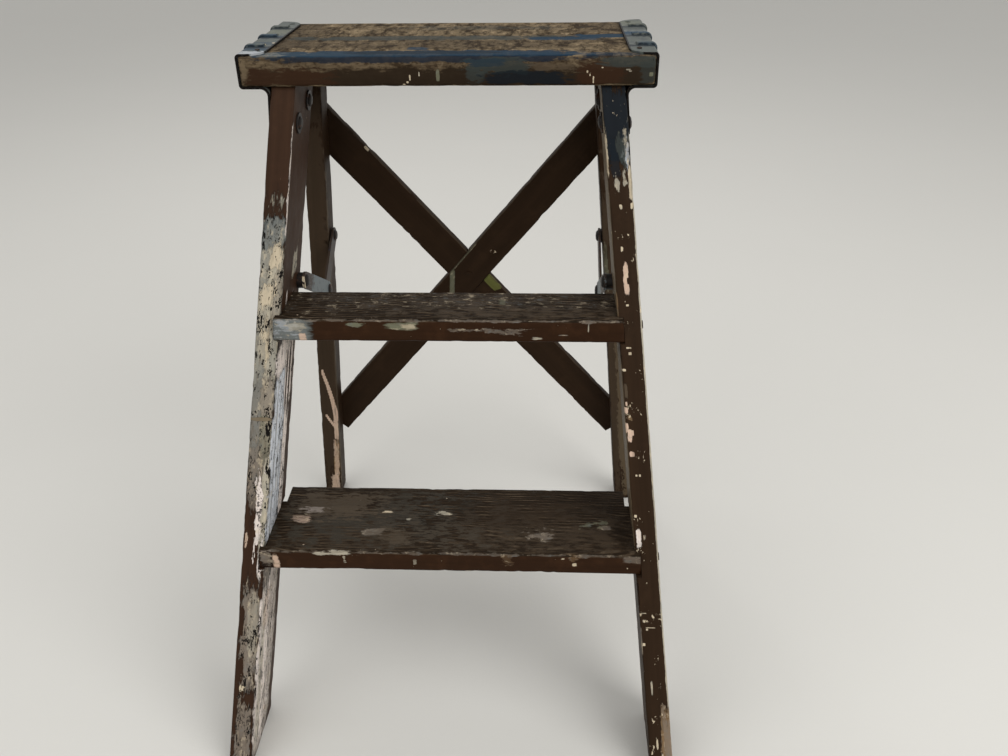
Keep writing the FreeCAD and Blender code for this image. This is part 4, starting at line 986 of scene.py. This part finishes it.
    def add_specks(self):
        """Fine cream specks along the grain."""
        specks = chips_of(self.along, self.job.specks, stretch=(0.7, 1, 1), scale=430)
        self.cover(specks, self.paints.cream, 0.3, 0.6, 0.85)

    def add_chips(self):
        """Chips down to the cream and peach coats."""
        under = blend_of(step_of(self.broad, 0.42, 0.58), self.paints.cream, self.paints.peach)
        self.cover(chips_of(self.place, self.job.chips, stretch=(1, 1, 0.7)), under, 0.25, 0.6)

    def add_wear(self):
        """Edges rubbed through the top coat; where the wear coats hold soot, a dark edge of dirt and painted
        shade.
        """
        job = self.job
        middle = (self.board.low + self.board.high) / 2
        half = (self.board.high - self.board.low) / 2
        mask = use_group("Edge wear", Vector=self.place, Middle=middle, Half=half,
                         Width=job.wear_width * MILLIMETRE, Ragged=self.ragged, Bias=job.wear - 0.5)[0]
        rubbed = [getattr(self.paints, coat) for coat in job.wear_coats]
        self.cover(mask, blend_of(self.fine, *rubbed), 0.3, 0.7, 0.85)


# Relief in metres, and gleam of the bare iron and straps, of the brackets and of the painted nails
METAL_RELIEF = 0.0002
METAL_GLEAM = 0.25
BRACKET_GLEAM = 0.04
NAIL_GLEAM = 0.05


class MetalFinish(Finish):
    """Brushed old paint on metal, smeared with a darker one and chipped down to iron and rust."""

    def __init__(self, name, colour, dark):
        super().__init__(name)
        broad = noise_of(self.position, 60, 3, 0.6)
        self.fine = noise_of(self.position, 700, 3, 0.6)
        self.colour = blend_of(broad, darker(colour, 0.7), lighter(colour, 1.3))
        self.height = plus(0.7, times(self.fine, 0.15))
        self.rough = plus(0.35, times(broad, 0.25))
        smear = step_of(noise_of(self.position, 130, 4, 0.6), 0.55, 0.66)
        self.cover(smear, dark, 0.65, 0.45, 0.5)

    def add_places(self, paints, places, raggedness_scale, softness, height, rough):
        """Bands and smears of paint, and of painted shade and highlight, given in the row frame."""
        ragged = noise_of(self.position, raggedness_scale, 4, 0.6)
        for coat, *outline, share in places:
            mask = patch_of(self.position, ragged, outline, softness)[0]
            self.cover(mask, getattr(paints, coat), height, rough, share)

    def close_chipped(self, metals, chips, gleam=METAL_GLEAM):
        """Chips the paint down to dark iron and rust, and gives the material."""
        self.cover(chips_of(self.position, chips), blend_of(self.fine, metals.iron, metals.rust), 0.2, 0.65)
        return self.close(METAL_RELIEF, gleam)


# The brackets' ribs, ends and flange edges, in row-frame millimetres
RIBS = (56.6, 95.6, 134.6)
BRACKET_ENDS = (25.1, 162.9)
FLANGE_EDGES = (-136.25, 136.25)

# Places of paint on the two brackets, in row-frame millimetres: bands and smears, painted shade in front of
# the ribs, paint rubbed thin on them, dark worn rims at the sheet's ends, and soot with painted shadow along
# the flange edges
BRACKET_PLACES = (
    ("blue", (-150, 46, 531), (22, 8, 5), 2.5, 0.75),
    ("light_blue", (-144, 30, 530), (18, 6, 5), 3, 0.4),
    ("blue", (-150, 66, 531), (18, 5, 5), 3, 0.5),
    ("blue", (-148, 92, 531), (18, 5, 5), 2, 0.75),
    ("moss", (-146, 118, 530), (14, 12, 3), 5, 0.4),
    ("cream", (-136, 68, 530), (3.5, 1.4, 2), 4, 0.9),
    ("cream", (-144, 60, 530), (1.6, 1.4, 2), 3, 0.6),
    ("blue_grey", (148, 112, 531), (17, 5, 6), 2, 0.6),
    ("blue", (148, 100, 531), (22, 7, 6), 1.5, 1),
    ("blue", (158, 54, 531), (12, 5, 6), 3, 0.5),
    ("slate", (150, 118, 530), (16, 8, 5), 3, 0.6),
    ("moss", (146, 142, 530), (12, 14, 3), 5, 0.35),
    *(("brown", (side * 130, 80, 486), (22, 70, 20), 2, 1) for side in (1, -1)),
    # Painted shade in a dark band in front of each rib, then paint rubbed thin on its crest
    *(band for rib in RIBS for band in (
        ("navy", (0, rib - 6.5, 520), (200, 3.6, 30), 1.5, 0.9),
        ("blue_grey", (0, rib + 1, 520), (200, 1.6, 30), 5, 0.25))),
    *(("soot", (0, end, 500), (200, 1.6, 80), 1, 1) for end in BRACKET_ENDS),
    # Soot and painted shadow in the gap along each flange's inner edge
    *(("soot", (edge, 94, 530), (1.3, 70, 3), 1, 1) for edge in FLANGE_EDGES),
)

# Places of paint round the front straps' rail ends, in row-frame millimetres, and a painted highlight on the
# left one
STRAP_PLACES = (
    ("brown", (-125, 22, 350), (8, 17, 14), 3, 0.9),
    # Painted highlight: a pale crescent on the front of the left link's round end
    ("cream", (-125, 11.6, 350), (8, 1.1, 6.5), 2, 0.95),
    ("brown", (125, 30, 345), (8, 24, 14), 3, 0.9),
)


def paint_nodes(names, material):
    for name in names:
        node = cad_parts[name]
        node.data.materials.clear()
        node.data.materials.append(material)


# Operators

class STOOL_OT_top_board(bpy.types.Operator):
    """Worn top board with bands of old blue paint"""
    bl_idname = "stool.top_board"
    bl_label = "Top Board"

    def execute(self, context):
        job = PaintJob(weathering=0.15, chips=0.0, wear=0.0, relief=0.0009, soft=0.16, rim=0.0, gleam=0.01)
        add_worn_board(context, "top_board", job)
        return {"FINISHED"}


class STOOL_OT_front_rails(bpy.types.Operator):
    """Front rails with flaking brown paint over grey and cream"""
    bl_idname = "stool.front_rails"
    bl_label = "Front Rails"

    def execute(self, context):
        # The left rail's edges wear to soot: dirt, and a painted dark outline of shade along its edges
        left = PaintJob("brown", specks=0.1, pits=0.5, wear=0.4, wear_coats=("soot", "grey_brown"))
        right = PaintJob("dark_brown", specks=0.35, pits=0.1, wear=0.45)
        add_worn_board(context, "left_front_rail", left)
        add_worn_board(context, "right_front_rail", right)
        return {"FINISHED"}


class STOOL_OT_treads(bpy.types.Operator):
    """Two treads with raised grain and rubbed front edges"""
    bl_idname = "stool.treads"
    bl_label = "Treads"

    def execute(self, context):
        for name, weathering in (("upper_tread", 1.7), ("lower_tread", 1.4)):
            job = PaintJob("tread_brown", side_coat="red_brown", weathering=weathering, chips=0.15,
                           specks=0.12, pits=0.2, wear=0.3, wear_width=1.2, relief=0.0006, gloss=0.42,
                           soft=0.3, rim=0.15)
            add_worn_board(context, name, job)
        return {"FINISHED"}


class STOOL_OT_rear_legs(bpy.types.Operator):
    """Rear legs in dark brown"""
    bl_idname = "stool.rear_legs"
    bl_label = "Rear Legs"

    def execute(self, context):
        job = PaintJob("dark_brown", chips=0.15, pits=0.3, wear_width=1.4, rim=0.0)
        for name in ("left_rear_leg", "right_rear_leg"):
            add_worn_board(context, name, job)
        return {"FINISHED"}


class STOOL_OT_slats(bpy.types.Operator):
    """Crossed slats in dark brown"""
    bl_idname = "stool.slats"
    bl_label = "Slats"

    def execute(self, context):
        job = PaintJob("dark_brown", chips=0.1, wear=0.45, wear_width=1.0, rim=0.0)
        for name in ("rising_slat", "falling_slat"):
            add_worn_board(context, name, job)
        return {"FINISHED"}


class STOOL_OT_brackets(bpy.types.Operator):
    """Old blue-grey paint on the ribbed brackets, with painted shade in front of the ribs and along the
    flange edges
    """
    bl_idname = "stool.brackets"
    bl_label = "Brackets"

    def execute(self, context):
        metals = context.scene.stool_metal
        finish = MetalFinish("bracket_finish", metals.bracket, metals.bracket_dark)
        finish.add_places(context.scene.stool_paint, BRACKET_PLACES, raggedness_scale=300, softness=0.3,
                          height=0.75, rough=0.45)
        paint_nodes(("left_bracket", "right_bracket"), finish.close_chipped(metals, 0.15, BRACKET_GLEAM))
        return {"FINISHED"}


class STOOL_OT_spreaders(bpy.types.Operator):
    """Old paint on the spreader straps, with a painted highlight on the left front link's end"""
    bl_idname = "stool.spreaders"
    bl_label = "Spreaders"

    def execute(self, context):
        metals = context.scene.stool_metal
        paints = context.scene.stool_paint
        front = MetalFinish("front_strap_finish", metals.strap, metals.bracket_dark)
        front.add_places(paints, STRAP_PLACES, raggedness_scale=400, softness=0.08, height=0.8, rough=0.5)
        paint_nodes(("left_front_link", "right_front_link"), front.close_chipped(metals, 0.3))
        rear = MetalFinish("rear_strap_finish", paints.dark_brown, metals.bracket_dark)
        paint_nodes(("left_rear_link", "right_rear_link"), rear.close_chipped(metals, 0.25))
        return {"FINISHED"}


class STOOL_OT_fasteners(bpy.types.Operator):
    """Dark iron on rivets, pins and washers, and brown paint over the nails"""
    bl_idname = "stool.fasteners"
    bl_label = "Fasteners"

    def execute(self, context):
        metals = context.scene.stool_metal
        iron = MetalFinish("iron_finish", metals.iron, metals.rust)
        bare = ("rivet", "washer", "pin", "spacer", "knuckle")
        fasteners = [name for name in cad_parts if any(word in name for word in bare)]
        paint_nodes(fasteners, iron.close_chipped(metals, 0.2))
        nails = MetalFinish("nail_finish", context.scene.stool_paint.dark_brown, metals.iron)
        nailed = [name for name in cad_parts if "nail" in name]
        paint_nodes(nailed, nails.close_chipped(metals, 0.1, NAIL_GLEAM))
        return {"FINISHED"}


# Lamps: the place of each in metres and its width
LAMPS = {
    "key": ((1.3, -1.0, 1.5), 1.4),
    "fill": ((-1.2, -0.9, 1.4), 1.6),
    "back": ((-0.3, 1.3, 2.0), 1.0),
}
LAMP_TARGET = (0, 0, 0.25)


class STOOL_OT_stage(bpy.types.Operator):
    """Floor, lamps and camera"""
    bl_idname = "stool.stage"
    bl_label = "Stage"

    def execute(self, context):
        scene = context.scene
        light = scene.stool_light
        self.add_floor(scene, light)
        self.add_world(scene, light)
        for name, (place, width) in LAMPS.items():
            self.add_lamp(scene, f"{name}_lamp", place, width, getattr(light, name))
        self.add_camera(scene)
        scene.view_settings.view_transform = "Standard"
        return {"FINISHED"}

    def add_floor(self, scene, light):
        half = light.floor_width / 2
        data = bpy.data.meshes.new("floor")
        corners = [(-half, -half, 0), (half, -half, 0), (half, half, 0), (-half, half, 0)]
        data.from_pydata(corners, [], [(0, 1, 2, 3)])
        floor = bpy.data.objects.new("floor", data)
        scene.collection.objects.link(floor)
        finish = Finish("floor_finish")
        mottle = noise_of(finish.position, 3, 4, 0.6)
        finish.colour = blend_of(mottle, darker(light.floor, 0.97), light.floor)
        finish.height = noise_of(finish.position, 300, 3)
        finish.rough = plus(0.6, times(mottle, 0.1))
        data.materials.append(finish.close(relief=0.0001))

    def add_world(self, scene, light):
        """Even white light, and a pale backdrop that the camera, metal and glass see."""
        world = bpy.data.worlds.new("studio")
        world.use_nodes = True
        tree = world.node_tree
        tree.nodes.clear()
        path = put(tree, "LightPath").outputs
        through = maths("MAXIMUM", path["Is Glossy Ray"], path["Is Transmission Ray"])
        seen = maths("MAXIMUM", path["Is Camera Ray"], through)
        even = put(tree, "Background", {"Color": (1, 1, 1, 1), "Strength": light.sky}).outputs[0]
        pale = put(tree, "Background", {"Color": full(light.backdrop), "Strength": 1.0}).outputs[0]
        both = put(tree, "MixShader", {0: seen, 1: even, 2: pale}).outputs[0]
        put(tree, "OutputWorld", {0: both})
        scene.world = world

    def add_lamp(self, scene, name, place, width, power):
        lamp = bpy.data.lights.new(name, "AREA")
        lamp.size = width
        lamp.energy = power
        holder = bpy.data.objects.new(name, lamp)
        holder.location = place
        holder.rotation_euler = (Vector(LAMP_TARGET) - Vector(place)).to_track_quat("-Z", "Y").to_euler()
        scene.collection.objects.link(holder)

    def add_camera(self, scene):
        place = scene.stool_camera
        data = bpy.data.cameras.new("camera")
        data.lens = place.lens
        camera = bpy.data.objects.new("camera", data)
        camera.location = (place.across, -place.ahead, place.height)
        camera.rotation_mode = "QUATERNION"
        for axis, angle in (("Z", place.turn), ("X", -place.dip), ("Y", place.roll), ("X", math.pi / 2)):
            turn = Matrix.Rotation(angle, 3, axis).to_quaternion()
            camera.rotation_quaternion = camera.rotation_quaternion @ turn
        scene.collection.objects.link(camera)
        scene.camera = camera


STEPS = (
    STOOL_OT_top_board, STOOL_OT_front_rails, STOOL_OT_treads, STOOL_OT_rear_legs, STOOL_OT_slats,
    STOOL_OT_brackets, STOOL_OT_spreaders, STOOL_OT_fasteners, STOOL_OT_stage,
)


class STOOL_PT_dressing(bpy.types.Panel):
    """Steps of the dressing, in order"""
    bl_label = "Step Stool"
    bl_idname = "STOOL_PT_dressing"
    bl_space_type = "VIEW_3D"
    bl_region_type = "UI"
    bl_category = "Step Stool"

    def draw(self, context):
        for step in STEPS:
            self.layout.operator(step.bl_idname)
        for group in ("stool_lumber", "stool_paint", "stool_metal", "stool_light", "stool_camera"):
            box = self.layout.box()
            settings = getattr(context.scene, group)
            for key in settings.bl_rna.properties.keys():
                if key not in ("rna_type", "name"):
                    box.prop(settings, key)


GROUPS = {
    "stool_lumber": LumberSizes, "stool_paint": PaintColours, "stool_metal": MetalColours,
    "stool_camera": CameraPlace, "stool_light": StudioLight,
}


def register():
    for group in GROUPS.values():
        bpy.utils.register_class(group)
    for key, group in GROUPS.items():
        setattr(bpy.types.Scene, key, bpy.props.PointerProperty(type=group))
    for step in STEPS:
        bpy.utils.register_class(step)
    bpy.utils.register_class(STOOL_PT_dressing)


def unregister():
    bpy.utils.unregister_class(STOOL_PT_dressing)
    for step in reversed(STEPS):
        bpy.utils.unregister_class(step)
    for key, group in GROUPS.items():
        delattr(bpy.types.Scene, key)
        bpy.utils.unregister_class(group)


def main():
    register()
    make_groups()
    for step in STEPS:
        family, name = step.bl_idname.split(".")
        getattr(getattr(bpy.ops, family), name)()


if __name__ == "__main__":
    main()
